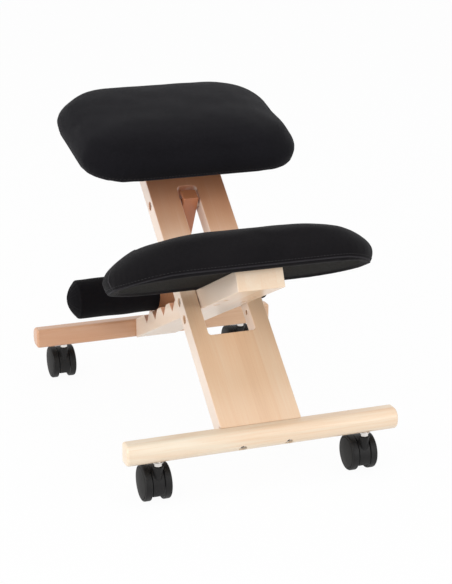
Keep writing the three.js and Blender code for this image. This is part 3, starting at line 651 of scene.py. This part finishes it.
rack = []
for index in range(NOTCHES):
    foot_y = FIRST_NOTCH - index * NOTCH_PITCH
    rack += [(foot_y + rear_run, BEAM_TOP), (foot_y, BEAM_TOP - NOTCH_DEPTH), (foot_y - front_run, BEAM_TOP)]
beam_piece = as_object(prism([
    (-BEAM_REACH, -BEAM_TOP), (beam_end(-BEAM_TOP), -BEAM_TOP), (beam_end(BEAM_TOP), BEAM_TOP), *rack,
    (-BEAM_REACH, BEAM_TOP)], BEAM_WIDTH), "notched_beam")
rounded_edges(beam_piece, 1.4)
rear_bolt = point_in(beam, BAR_Y + BAR_SPACING + BAR_FACE - BAR_OUTER_ROUND,
                     BAR_Z + BAR_OUTER_ROUND - BAR_TOP)
reach = rear_bolt.y + BAR_OUTER_ROUND - BOLT_SINK - BOLT_REACH
tools = [at(bore((BOLT_BORE, -60, 60)), ACROSS)]
tools += [at(bore((BOLT_BORE, reach, reach + 90)), moved_to(x, 0, rear_bolt.z) @ ALONG) for x in REAR_BOLTS]
low, step, high = -BEAM_TOP, KNEE_SINK - BEAM_TOP, BEAM_TOP + 2
tools += [at(turned([(0, low - 2), (SCREW_RECESS + 0.9, low - 2), (SCREW_RECESS, low + 0.4),
                     (SCREW_RECESS, step), (SCREW_BORE, step), (SCREW_BORE, high), (0, high)]),
             moved_to(x, y, 0)) for x, y in KNEE_SCREWS]
combined(beam_piece, tools)
finished(beam_piece, beam, "knee_frame", beam_beech, ["knee_beam"])

# %% [markdown]
# ## Prop
# The prop is a flat strut. Its neck swings in the narrow slot, and its wider foot stands in a notch
# and carries the rod of the ankle rolls.

# %% Prop
neck, foot = PROP_NECK / 2, PROP_FOOT / 2
prop_piece = as_object(slab(symmetric([
    (neck, -PROP_HEAD, 0), (neck, PROP_SHOULDER, PROP_ROUND), (foot, PROP_SHOULDER, PROP_ROUND),
    (foot, PROP_LENGTH, 0)]), -PROP_THICKNESS / 2, PROP_THICKNESS / 2), "height_prop")
rounded_edges(prop_piece, 1.4)
combined(prop_piece, [at(bore((BOLT_BORE, -40, 40)), ACROSS),
                      at(bore((ROD_BORE, -40, 40)), moved_to(0, roll_at, 0) @ ACROSS)])
finished(prop_piece, prop, "prop", prop_beech, ["prop_strut"])

# %% [markdown]
# ## Cushions
# A padded seat is cloth pulled over foam. The form is lofted, remeshed evenly, laid back on the smooth
# form, and blown up as cloth under light pressure. How far each point may move is capped, and the
# underside is held, because it lies on its board. The rim then droops a little past that board.

# %% Cushion form
BASE_LIFT = 0.2
PAD_COUNT = 120


def pad_ring(plan, inset, share=1, count=PAD_COUNT):
    width, depth, corner, taper = plan
    w, d, r = width / 2 - inset, depth / 2 - inset, corner - inset
    outline = rounded([(-w, -d, r), (w, -d, r), (w, d, r), (-w, d, r)], 16)
    lengths = [0.0]
    loop = outline + [outline[0]]
    for a, b in zip(loop, loop[1:]):
        lengths.append(lengths[-1] + (b - a).length)
    ring, segment = [], 0
    for step in range(count):
        goal = lengths[-1] * step / count
        while lengths[segment + 1] < goal:
            segment += 1
        span = lengths[segment + 1] - lengths[segment]
        point = loop[segment].lerp(loop[segment + 1], (goal - lengths[segment]) / max(span, 1e-9))
        ring.append(Vector((point.x * (1 + taper * point.y / d), point.y)) * share)
    return ring


def pad_shape(plan, height, bulge, draw_in, power, drop, shrink):
    def level(inset, share, z):
        return [(point.x, point.y, z) for point in pad_ring(plan, inset + shrink, share)]

    rings = [[(0, 0, BASE_LIFT)]]
    rings += [level(draw_in, share, BASE_LIFT) for share in (0.4, 0.8, 0.97)]
    rings += [level(draw_in * (1 - math.sin(QUARTER * k / 8)), 1, BASE_LIFT + bulge * k / 8)
              for k in range(9)]
    top = height - drop - bulge
    for share in (0.997, 0.985, 0.965, 0.935, 0.9, 0.85, 0.78, 0.68, 0.56, 0.42, 0.28, 0.14):
        rings.append(level(0, share, bulge + top * math.sqrt(1 - share ** power)))
    rings.append([(0, 0, bulge + top)])
    return lofted(rings)


print("cushion form ready")

# %% Cloth puff and droop
VOXEL, FRAMES, PRESSURE = 6, 20, 4
PUFF_CAP, PUFF_RISE, PUFF_SLIDE = 4.5, 10, 0.3
HELD_HEIGHT, RIM_HEIGHT, DROOP_REACH = 2.5, 12, 26
SLACK_SCALE, SLACK_DEPTH = 24, 0.9


def limited(value):
    return min(1, max(0, value))


def smoothed(piece, rounds):
    shape = bmesh.new()
    shape.from_mesh(piece.data)
    free = [vertex for vertex in shape.verts if vertex.co.z > HELD_HEIGHT * MM]
    for _ in range(rounds):
        bmesh.ops.smooth_vert(shape, verts=free, factor=0.5, use_axis_x=True, use_axis_y=True,
                              use_axis_z=True)
    shape.to_mesh(piece.data)
    shape.free()


def blown_up(piece):
    start = [(vertex.co.copy(), vertex.normal.copy()) for vertex in piece.data.vertices]
    soft = piece.modifiers.new("cloth", "CLOTH")
    soft.settings.use_pressure = True
    soft.settings.uniform_pressure_force = PRESSURE
    soft.settings.effector_weights.gravity = 0
    soft.settings.quality = 3
    soft.point_cache.frame_start = 1
    soft.point_cache.frame_end = FRAMES
    for step in range(1, FRAMES + 1):
        bpy.context.scene.frame_set(step)
    applied(piece)
    bpy.context.scene.frame_set(1)
    for vertex, (before, outward) in zip(piece.data.vertices, start):
        move = vertex.co - before
        grown = max(0, move.dot(outward))
        slid = move - outward * move.dot(outward)
        allowed = PUFF_CAP * MM * limited((before.z / MM - 1) / PUFF_RISE)
        vertex.co = before + outward * min(grown, allowed)
        if slid.length > 0:
            vertex.co += slid * min(1, allowed * PUFF_SLIDE / slid.length)


def puffed(piece):
    form = in_scene("form", piece.data.copy())
    remesh = piece.modifiers.new("even", "REMESH")
    remesh.mode = "VOXEL"
    remesh.voxel_size = VOXEL * MM
    piece.modifiers.new("laid_on_form", "SHRINKWRAP").target = form
    applied(piece)
    bpy.data.objects.remove(form)
    smoothed(piece, 2)
    blown_up(piece)
    smoothed(piece, 6)
    for vertex in piece.data.vertices:
        slack = noise.noise(vertex.co * SLACK_SCALE) * limited(vertex.co.z / MM / RIM_HEIGHT)
        vertex.co += vertex.normal * slack * SLACK_DEPTH * MM
    return subdivided(piece)


def drooped(piece, outline, depth, clear):
    rim = KDTree(len(outline))
    for index, point in enumerate(outline):
        rim.insert((point.x, point.y, 0), index)
    rim.balance()
    for vertex in piece.data.vertices:
        x, y, z = vertex.co / MM
        if z <= RIM_HEIGHT:
            inside = rim.find((x, y, 0))[2]
            band = limited((DROOP_REACH - inside) / (DROOP_REACH / 2))
            free = limited((abs(x) - clear) / 8) if clear and y > 0 else 1
            fall = band * band * (3 - 2 * band) * free * (1 - max(0, z) / RIM_HEIGHT)
            vertex.co.z -= depth * MM * fall


print("cloth of", FRAMES, "frames, at most", PUFF_CAP, "mm out")

# %% [markdown]
# ## Seams
# A thin piping runs round the lower edge of each pad, with a row of stitches above it. At the round
# ends of the knee pad one more seam climbs the side. Seams are laid on the finished cushion: rays find
# the surface, a thin tube follows the points, and Geometry Nodes place a small stitch on each.

# %% Points on a cushion
PIPING_HEIGHT, ROW_HEIGHT, RAY_START = 1.5, 6, 30
DIP_FROM, DIP_RUN = 150, 60
END_START, END_POINTS, END_LOW, END_TURN = (150, -10, 9), 13, -8, 67


def surface_points(piece, rays):
    shape = bmesh.new()
    shape.from_mesh(piece.data)
    tree = BVHTree.FromBMesh(shape)
    hits = [tree.ray_cast(start * MM, direction) for start, direction in rays]
    shape.free()
    return [(place / MM, normal) for place, normal, _, _ in hits]


def edge_rays(outline, height, dip):
    rays = []
    for index, point in enumerate(outline):
        along = outline[(index + 1) % len(outline)] - outline[index - 1]
        outward = Vector((along.y, -along.x, 0)).normalized()
        lowered = height - dip * limited((abs(point.x) - DIP_FROM) / DIP_RUN)
        rays.append((Vector((point.x, point.y, lowered)) + outward * RAY_START, -outward))
    return rays


def end_rays(side):
    x, y, z = END_START
    angles = [math.radians(END_LOW + END_TURN * step / (END_POINTS - 1)) for step in range(END_POINTS)]
    return [(Vector((side * x, y, z)), Vector((side * math.cos(angle), 0, math.sin(angle))))
            for angle in angles]


print("rays for an end seam:", len(end_rays(1)))

# %% Piping
PIPING_RADIUS, PIPING_SIDES = 1.4, 10


def piping(name, path, sink, closed, material, place, body):
    rings = []
    for index, (spot, normal) in enumerate(path):
        after = path[(index + 1) % len(path)] if closed else path[min(index + 1, len(path) - 1)]
        before = path[index - 1] if closed else path[max(index - 1, 0)]
        along = (after[0] - before[0]).normalized()
        beside = along.cross(normal).normalized()
        turns = [math.tau * k / PIPING_SIDES for k in range(PIPING_SIDES)]
        rings.append([spot - normal * sink + PIPING_RADIUS * (normal * math.cos(turn) + beside * math.sin(turn))
                      for turn in turns])
    piece = as_object(at(lofted(rings, closed), TO_METRES), name)
    piece.data.transform(place)
    return dressed(piece, body, material=material)


print("piping", PIPING_RADIUS * 2, "mm thick")


# %% Shapes placed on points
def new_group(name, values):
    tree = bpy.data.node_groups.new(name, "GeometryNodeTree")
    for label, kind in (("Places", "Geometry"), *values, ("Finish", "Material")):
        tree.interface.new_socket(label, in_out="INPUT", socket_type=f"NodeSocket{kind}")
    tree.interface.new_socket("Made", in_out="OUTPUT", socket_type="NodeSocketGeometry")
    return tree, add(tree, "NodeGroupInput").outputs


def on_points(tree, given, shape, scale):
    aim = out(tree, "GeometryNodeInputNamedAttribute", {"Name": "aim"}, data_type="FLOAT_VECTOR")
    turn = out(tree, "FunctionNodeAlignRotationToVector", {"Vector": aim}, axis="Z")
    return out(tree, "GeometryNodeInstanceOnPoints", {
        "Points": given["Places"], "Instance": shape, "Rotation": turn, "Scale": scale})


def group_result(tree, given, parts):
    joined = add(tree, "GeometryNodeJoinGeometry")
    for part in parts:
        tree.links.new(part, joined.inputs[0])
    real = out(tree, "GeometryNodeRealizeInstances", {0: joined.outputs[0]})
    painted = out(tree, "GeometryNodeSetMaterial", {0: real, "Material": given["Finish"]})
    add(tree, "NodeGroupOutput", {0: painted})
    return tree


def from_points(name, tree, places, aims, settings, reaches=()):
    mesh = bpy.data.meshes.new(name)
    mesh.from_pydata([tuple(place) for place in places], [], [])
    mesh.attributes.new("aim", "FLOAT_VECTOR", "POINT").data.foreach_set(
        "vector", [value for aim in aims for value in aim])
    if reaches:
        mesh.attributes.new("reach", "FLOAT", "POINT").data.foreach_set("value", reaches)
    piece = in_scene(name, mesh)
    modifier = piece.modifiers.new("made", "NODES")
    modifier.node_group = tree
    for item in tree.interface.items_tree:
        if item.name in settings:
            modifier[item.identifier] = settings[item.name]
    return applied(piece)


print("point helpers ready")

# %% Stitches
STITCH_LENGTH, STITCH_THICKNESS = 4.2, 0.8


def stitch_tree():
    tree, given = new_group("stitches", [("Length", "Float"), ("Thickness", "Float")])
    bead = out(tree, "GeometryNodeMeshUVSphere", {"Segments": 6, "Rings": 4, "Radius": 0.5})
    size = merged(tree, given["Thickness"], given["Thickness"], given["Length"])
    return group_result(tree, given, [on_points(tree, given, bead, size)])


STITCHES = stitch_tree()


def stitches(name, paths, place, body):
    spots, aims = [], []
    for path, closed in paths:
        for index, (spot, normal) in enumerate(path if closed else path[:-1]):
            after = path[(index + 1) % len(path)][0]
            spots.append(place @ ((spot + normal * STITCH_THICKNESS * 0.2) * MM))
            aims.append((place.to_3x3() @ (after - spot)).normalized())
    piece = from_points(name, STITCHES, spots, aims, {
        "Length": STITCH_LENGTH * MM, "Thickness": STITCH_THICKNESS * MM, "Finish": thread})
    return dressed(piece, body)


print("stitch tree has", len(STITCHES.nodes), "nodes")


# %% Seat and knee cushions
def soft_piece(piece, place, body, material, nodes):
    piece.data.transform(place)
    dressed(piece, body, nodes, material)


def cushion(label, plan, form, place, body, material, seam, droop, end_sides=()):
    count, inset, dip = seam
    pad = as_object(at(pad_shape(plan, **form), TO_METRES), f"{label}_padding")
    puffed(pad)
    drooped(pad, pad_ring(plan, 0, count=count), *droop)
    edge = pad_ring(plan, inset, count=count)
    pipe = surface_points(pad, edge_rays(edge, PIPING_HEIGHT, dip))
    row = surface_points(pad, edge_rays(edge, ROW_HEIGHT, dip))
    ends = {side_name: surface_points(pad, end_rays(side)) for side_name, side in end_sides}
    piping(f"{label}_piping", pipe, 0.3, True, piping_cloth, place, body)
    for side_name, path in ends.items():
        piping(f"{label}_end_seam_{side_name}", path, 0.4, False, thread, place, body)
    beside = [([(spot + Vector((0, 2.2, 0)), normal) for spot, normal in path], False)
              for path in ends.values()]
    stitches(f"{label}_stitches", [(row, True), *beside], place, body)
    soft_piece(pad, place, body, material, [f"{label}_cushion"])


SIDES = (("left", -1), ("right", 1))
cushion("seat", (404, 307, 82, 0),
        dict(height=77, bulge=16, draw_in=9, power=3.3, drop=2.5, shrink=-1),
        in_metres(seat @ moved_to(0, -24.8, GAP)), "seat_frame", seat_cloth,
        seam=(210, 12, 0), droop=(3, 0))
cushion("knee", (470, 222, 110, 0.04),
        dict(height=78, bulge=12.5, draw_in=7, power=3.4, drop=8, shrink=-1),
        in_metres(beam @ moved_to(0, -142, BEAM_TOP + GAP)), "knee_frame", knee_cloth,
        seam=(190, 10, 4), droop=(4.5, 43), end_sides=SIDES)

# %% [markdown]
# ## Ankle rolls
# Each roll is a foam cylinder in a cloth sleeve with a domed end sewn on. A step in the profile makes
# the seam, faint pleats run up to it from both sides, and a fixed noise gives the sleeve some slack.

# %% Ankle rolls
ROLL_SIDES, SLEEVE_STEPS, DOME_STEPS, DOME_RADIUS = 120, 18, 14, 33.6


def roll_profile(inner):
    start, end = inner + ROLL_ROUND, ROLL_REACH
    profile = [(7, inner + 0.5), (14, inner), (24, inner), (29, inner + 0.4)]
    profile += arc(ROLL_RADIUS - ROLL_ROUND, start, ROLL_ROUND, -QUARTER, 5)[1:]
    for share in (k / SLEEVE_STEPS for k in range(1, SLEEVE_STEPS)):
        profile.append((ROLL_RADIUS + 0.3 * math.sin(math.pi * share), start + (end - 9 - start) * share))
    profile += [(36.4, end - 9), (36.1, end - 7.4), (35.2, end - 6.2), (34.2, end - 5.6)]
    for share in (1 - k / DOME_STEPS for k in range(DOME_STEPS)):
        profile.append((DOME_RADIUS * share, end - 5.2 + ROLL_DOME * (1 - share ** 2)))
    return profile


def ankle_roll(side_name, side):
    inner = PROP_FOOT / 2 + GAP + 0.5
    rings = [[(side * (inner + 0.5), 0, 0)]]
    for radius, x in roll_profile(inner):
        ring = []
        for k in range(ROLL_SIDES):
            angle = math.tau * k / ROLL_SIDES
            spot = Vector((math.cos(angle), math.sin(angle), side * 3.0))
            pleat = math.sin(angle * 19 + 3.5 * noise.noise(spot * 1.7)) * 0.6 + 0.8 * noise.noise(spot * 6)
            near_end = max(0.0, 1 - (ROLL_REACH - x) / 34) * min(1.0, radius / 10)
            slack = noise.noise(Vector((x / 38, math.cos(angle) * 1.1, math.sin(angle) * 1.1 + side)))
            grown = radius + 0.3 * pleat * near_end * (radius / 36) + 0.9 * slack * min(1, radius / 30)
            inward = 0.5 * (pleat - 0.4) * near_end * (1 - (radius / 37) ** 4)
            ring.append(((x + inward) * side, grown * math.cos(angle), grown * math.sin(angle)))
        rings.append(ring)
    rings.append([(side * (ROLL_REACH - 5.2 + ROLL_DOME), 0, 0)])
    piece = subdivided(as_object(at(lofted(rings), TO_METRES), f"roll_padding_{side_name}"))
    soft_piece(piece, in_metres(prop @ moved_to(0, roll_at, 0)), "prop", roll_cloth,
               [f"ankle_roll_{side_name}"])


for side_name, side in SIDES:
    ankle_roll(side_name, side)

# %% [markdown]
# ## Casters
# Each caster is a black hood between two wheels, on an upright steel stem in front of the axle. The
# hood is a drum with a boss, cut open below. Each wheel has a round tread and a slightly crowned cover.

# %% Caster hood
DRUM_RADIUS, DRUM_HALF, DRUM_ROUND, MOUTH_HEIGHT = 29, 10, 0.8, 14
drum_profile = [(0, -DRUM_HALF), *arc(DRUM_RADIUS, DRUM_ROUND - DRUM_HALF, DRUM_ROUND, -QUARTER, 4)]
drum_profile += [(radius, -height) for radius, height in drum_profile[::-1]]
hood_piece = as_object(at(turned(drum_profile, 72), ACROSS), "hood_form")
stem_place = moved_to(0, -STEM_AHEAD, 0)
boss = turned([(0, 5), (5, 5), (6.4, 16), (9, 34.4), (8.6, 36), (7.6, 36.6), (0, 36.6)])
combined(hood_piece, [at(boss, stem_place)], "UNION")
tools = [slab([(-40, -40), (40, -40), (40, 40), (-40, 40)], -40, MOUTH_HEIGHT - HUB_HEIGHT)]
for side in (-1, 1):
    ring = [(11, side * 6), (18, side * 6), (18, side * 12), (11, side * 12)]
    tools.append(at(turned(ring, closed=True), ACROSS))
tools += [at(bore((BOLT_BORE, -14, 14)), ACROSS), at(bore((BOLT_BORE, 16.6, 50)), stem_place)]
combined(hood_piece, tools)
rounded_edges(hood_piece, 0.5, 2, 50)
print("hood", len(hood_piece.data.polygons), "faces")

# %% Caster wheel and stem
WHEEL_START, COVER_RADIUS, COVER_CROWN = 10.9, 26.2, 2.4
tread_profile = [
    (4.3, 0), (11, 0), (11, 4), (25, 4), (28, 0.4), (29.4, 0), *arc(29.4, 1.6, 1.6, -QUARTER, 4)[1:],
    *arc(28, 9.2, 3, 0, 5), (27.6, 12), (27.4, 11.5), (27.4, 9.3), (4.3, 9.3)]
disc_profile = [(0, 11.3), (4.3, 11.3), (4.3, 9.6), (26.9, 9.6), (26.9, 11.8), (26.6, 12.3)]
for radius in (COVER_RADIUS - 2 * k for k in range(13)):
    disc_profile.append((radius, 12.5 + COVER_CROWN * (1 - (radius / COVER_RADIUS) ** 2)))
disc_profile.append((0, 12.5 + COVER_CROWN))
stem_profile = [(0, 16.9), (4, 16.9), (4, 36.9), (5.9, 36.9), (6.5, 37.5), (6.5, 42.6), (5.9, 43.2),
                (4, 43.2), (4, 69), (3, 70), (0, 70)]


def wheel_mesh(profile, side, closed):
    shape = turned([(radius, height + WHEEL_START) for radius, height in profile], 72, closed)
    if side < 0:
        at(shape, Matrix.Scale(-1, 4, (0, 0, 1)))
    bmesh.ops.recalc_face_normals(shape, faces=shape.faces)
    return at(shape, ACROSS)


for end_name, y in (("front", BAR_Y), ("rear", BAR_Y + BAR_SPACING)):
    for side_name, side in SIDES:
        label = f"{end_name}_{side_name}"
        hub = moved_to(side * CASTER_SIDE, y + STEM_AHEAD, HUB_HEIGHT)
        hood = in_scene(f"hood_{label}", hood_piece.data.copy())
        finished(hood, hub, f"caster_{label}", nylon, [f"caster_hood_{label}"], 35)
        stem = as_object(turned(stem_profile), f"stem_{label}")
        finished(stem, hub @ stem_place, f"caster_{label}", zinc,
                 [f"caster_stem_{label}"], 35)
        for wheel_side, sign in SIDES:
            wheel = f"wheel_{label}_{wheel_side}"
            tread = as_object(wheel_mesh(tread_profile, sign, True), f"tread_{label}_{wheel_side}")
            finished(tread, hub, wheel, nylon, [wheel], 35)
            disc = as_object(wheel_mesh(disc_profile, sign, False), f"disc_{label}_{wheel_side}")
            finished(disc, hub, wheel, disc_plastic, [wheel], 35)
bpy.data.objects.remove(hood_piece)

# %% [markdown]
# ## Fasteners
# Bolts and screws repeat, so Geometry Nodes make them on a mesh of bare points, which carry each
# fastener's direction and length. A head with a socket and a shank are turned along the direction.


# %% Fastener tree
LABELS = ("Head radius", "Head height", "Shank radius", "Socket radius", "Socket depth")


def cylinder(tree, vertices, radius, depth):
    return out(tree, "GeometryNodeMeshCylinder", {"Vertices": vertices, "Radius": radius, "Depth": depth})


def raised(tree, shape, lift):
    return out(tree, "GeometryNodeTransform", {0: shape, "Translation": lift})


def fastener_tree():
    tree, given = new_group("fasteners", [*((label, "Float") for label in LABELS), ("Socket sides", "Int")])
    head = cylinder(tree, 32, given["Head radius"], given["Head height"])
    lift = merged(tree, 0.0, 0.0, times(tree, given["Head height"], 0.5))
    recess = cylinder(tree, given["Socket sides"], given["Socket radius"],
                      times(tree, given["Socket depth"], 2.0))
    hollow = out(tree, "GeometryNodeMeshBoolean", {0: head, 1: raised(tree, recess, lift)},
                 operation="DIFFERENCE")
    shank = raised(tree, cylinder(tree, 24, given["Shank radius"], 1.0), (0, 0, -0.5))
    reach = out(tree, "GeometryNodeInputNamedAttribute", {"Name": "reach"}, data_type="FLOAT")
    return group_result(tree, given, [
        on_points(tree, given, raised(tree, hollow, lift), (1, 1, 1)),
        on_points(tree, given, shank, merged(tree, 1.0, 1.0, reach))])


FASTENERS = fastener_tree()


def fasteners(name, places, sizes, body, nodes, sides=6):
    settings = {label: value * MM for label, value in zip(LABELS, sizes)}
    piece = from_points(name, FASTENERS, [spot * MM for spot, _, _ in places],
                        [aim for _, aim, _ in places],
                        {**settings, "Socket sides": sides, "Finish": zinc},
                        [reach * MM for _, _, reach in places])
    return dressed(piece, body, nodes, sharp=30)


def aimed(member, spot, direction, reach):
    return member @ Vector(spot), (member.to_3x3() @ Vector(direction)).normalized(), reach


print("fastener tree has", len(FASTENERS.nodes), "nodes")

# %% Crossbar bolts
HEX_BOLT = (6.5, 8, 4, 3.2, 4)
board_seat = bolt_centre.y - BAR_OUTER_ROUND + BOLT_SINK - GAP
beam_seat = rear_bolt.y + BAR_OUTER_ROUND - BOLT_SINK + GAP
fasteners("front_bar_bolts",
          [aimed(board, (x, board_seat, bolt_centre.z), (0, -1, 0), BOLT_REACH) for x in FRONT_BOLTS],
          HEX_BOLT, "seat_frame", ["front_bar_bolt_left", "front_bar_bolt_right"])
fasteners("rear_bar_bolts",
          [aimed(beam, (x, beam_seat, rear_bolt.z), (0, 1, 0), BOLT_REACH) for x in REAR_BOLTS],
          HEX_BOLT, "knee_frame", ["rear_bar_bolt_left", "rear_bar_bolt_right"])

# %% Wood screws
WOOD_SCREW = (4.3, 2.6, 2.4, 1.7, 1.4)
fasteners("knee_screws",
          [aimed(beam, (x, y, KNEE_SINK - BEAM_TOP - GAP), (0, 0, -1), 40) for x, y in KNEE_SCREWS],
          WOOD_SCREW, "knee_frame", [f"knee_screw_{number}" for number in range(1, 5)], sides=4)
fasteners("block_screws",
          [aimed(board, (x, y, BLOCK_SINK - BOARD_THICKNESS - GAP), (0, 0, -1), 38)
           for x, y in BLOCK_SCREWS],
          WOOD_SCREW, "seat_frame", ["block_screw_left", "block_screw_right"], sides=4)

# %% Pivot bolts
PIVOT_BOLT, BARREL_NUT = (7, 5, 4, 3.2, 3), (7, 5, 5.6, 3.2, 3)
pivot_side = BOARD_WIDTH / 2 - PIVOT_SINK + GAP
for label, at_y in (("main_pivot", MAIN_PIVOT), ("strut_pivot", PROP_PIVOT)):
    for kind, sizes, sign, reach in (("bolt", PIVOT_BOLT, -1, 128), ("nut", BARREL_NUT, 1, 13.5)):
        centre = board @ Vector((sign * pivot_side, at_y, -BOARD_THICKNESS / 2))
        fasteners(f"{label}_{kind}", [(centre, Vector((sign, 0, 0)), reach)], sizes, "seat_frame",
                  [f"{label}_{kind}"])

# %% [markdown]
# ## Pieces kept from the frame
# The sockets, washers, axles and base boards have the right shape already, and only get a finish.

# %% Finishes for kept nodes
kept = {"seat_support_block": block_beech, "seat_base_board": lining_cloth,
        "knee_base_board": lining_cloth, "roll_rod": zinc}
for side_name, _ in SIDES:
    kept.update({f"{pivot}_washer_{side_name}": zinc for pivot in ("pivot", "strut")})
    kept.update({f"caster_{kind}_{end_name}_{side_name}": zinc
                 for kind in ("socket", "axle") for end_name in ("front", "rear")})
kept.update({f"seat_screw_{number}": zinc for number in range(1, 5)})
for name, material in kept.items():
    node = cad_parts[name]
    node.data.materials.clear()
    node.data.materials.append(material)
print(len(kept), "nodes kept")

# %% [markdown]
# ## Floor and light
# The chair stands on a pale floor in even studio light: four broad lamps and a soft sky. The
# background is white for the camera and in reflections, and the floor keeps a faint shadow.


# %% Floor
def seen_directly(tree):
    path = add(tree, "ShaderNodeLightPath").outputs
    seen = calc(tree, "ADD", path["Is Camera Ray"], path["Is Glossy Ray"])
    return calc(tree, "ADD", seen, path["Is Transmission Ray"], clamp=True)


def white_when_seen(tree, share, other, kind, target):
    white = out(tree, kind, {"Color": (1, 1, 1, 1), "Strength": 1.0})
    mixed = out(tree, "ShaderNodeMixShader", {0: share, 1: other, 2: white})
    add(tree, target, {"Surface": mixed})


floor_shape = bmesh.new()
bmesh.ops.create_grid(floor_shape, x_segments=1, y_segments=1, size=8)
floor = as_object(floor_shape, "floor")
floor_paint = bpy.data.materials.new("floor_paint")
floor_paint.use_nodes = True
floor_tree = floor_paint.node_tree
floor_tree.nodes.clear()
matte = out(floor_tree, "ShaderNodeBsdfDiffuse", {"Color": (0.86, 0.86, 0.86, 1)})
white_when_seen(floor_tree, times(floor_tree, seen_directly(floor_tree), 0.96), matte,
                "ShaderNodeEmission", "ShaderNodeOutputMaterial")
floor.data.materials.append(floor_paint)
print("floor ready")

# %% Lamps and world
LAMPS = (("key", (-2.4, -2.0, 2.3), 0.25, 1.6, 26), ("side", (-3.0, -0.5, 0.8), 0.3, 1.8, 28),
         ("fill", (2.0, -2.6, 1.0), 0.25, 2.0, 27), ("top", (0.2, -0.4, 3.0), 0.3, 1.8, 14))
for name, place, aim_height, size, power in LAMPS:
    data = bpy.data.lights.new(name, "AREA")
    data.shape = "DISK"
    data.size = size
    data.energy = power
    lamp = in_scene(name, data)
    lamp.location = place
    lamp.rotation_euler = (Vector(place) - Vector((0, 0, aim_height))).to_track_quat("Z", "Y").to_euler()
world = bpy.data.worlds.new("studio")
world.use_nodes = True
bpy.context.scene.world = world
sky = world.node_tree
sky.nodes.clear()
soft_light = out(sky, "ShaderNodeBackground", {"Color": (0.97, 0.98, 1.0, 1), "Strength": 0.66})
white_when_seen(sky, seen_directly(sky), soft_light, "ShaderNodeBackground", "ShaderNodeOutputWorld")
bpy.context.scene.view_settings.view_transform = "Standard"
print(len(LAMPS), "lamps ready")
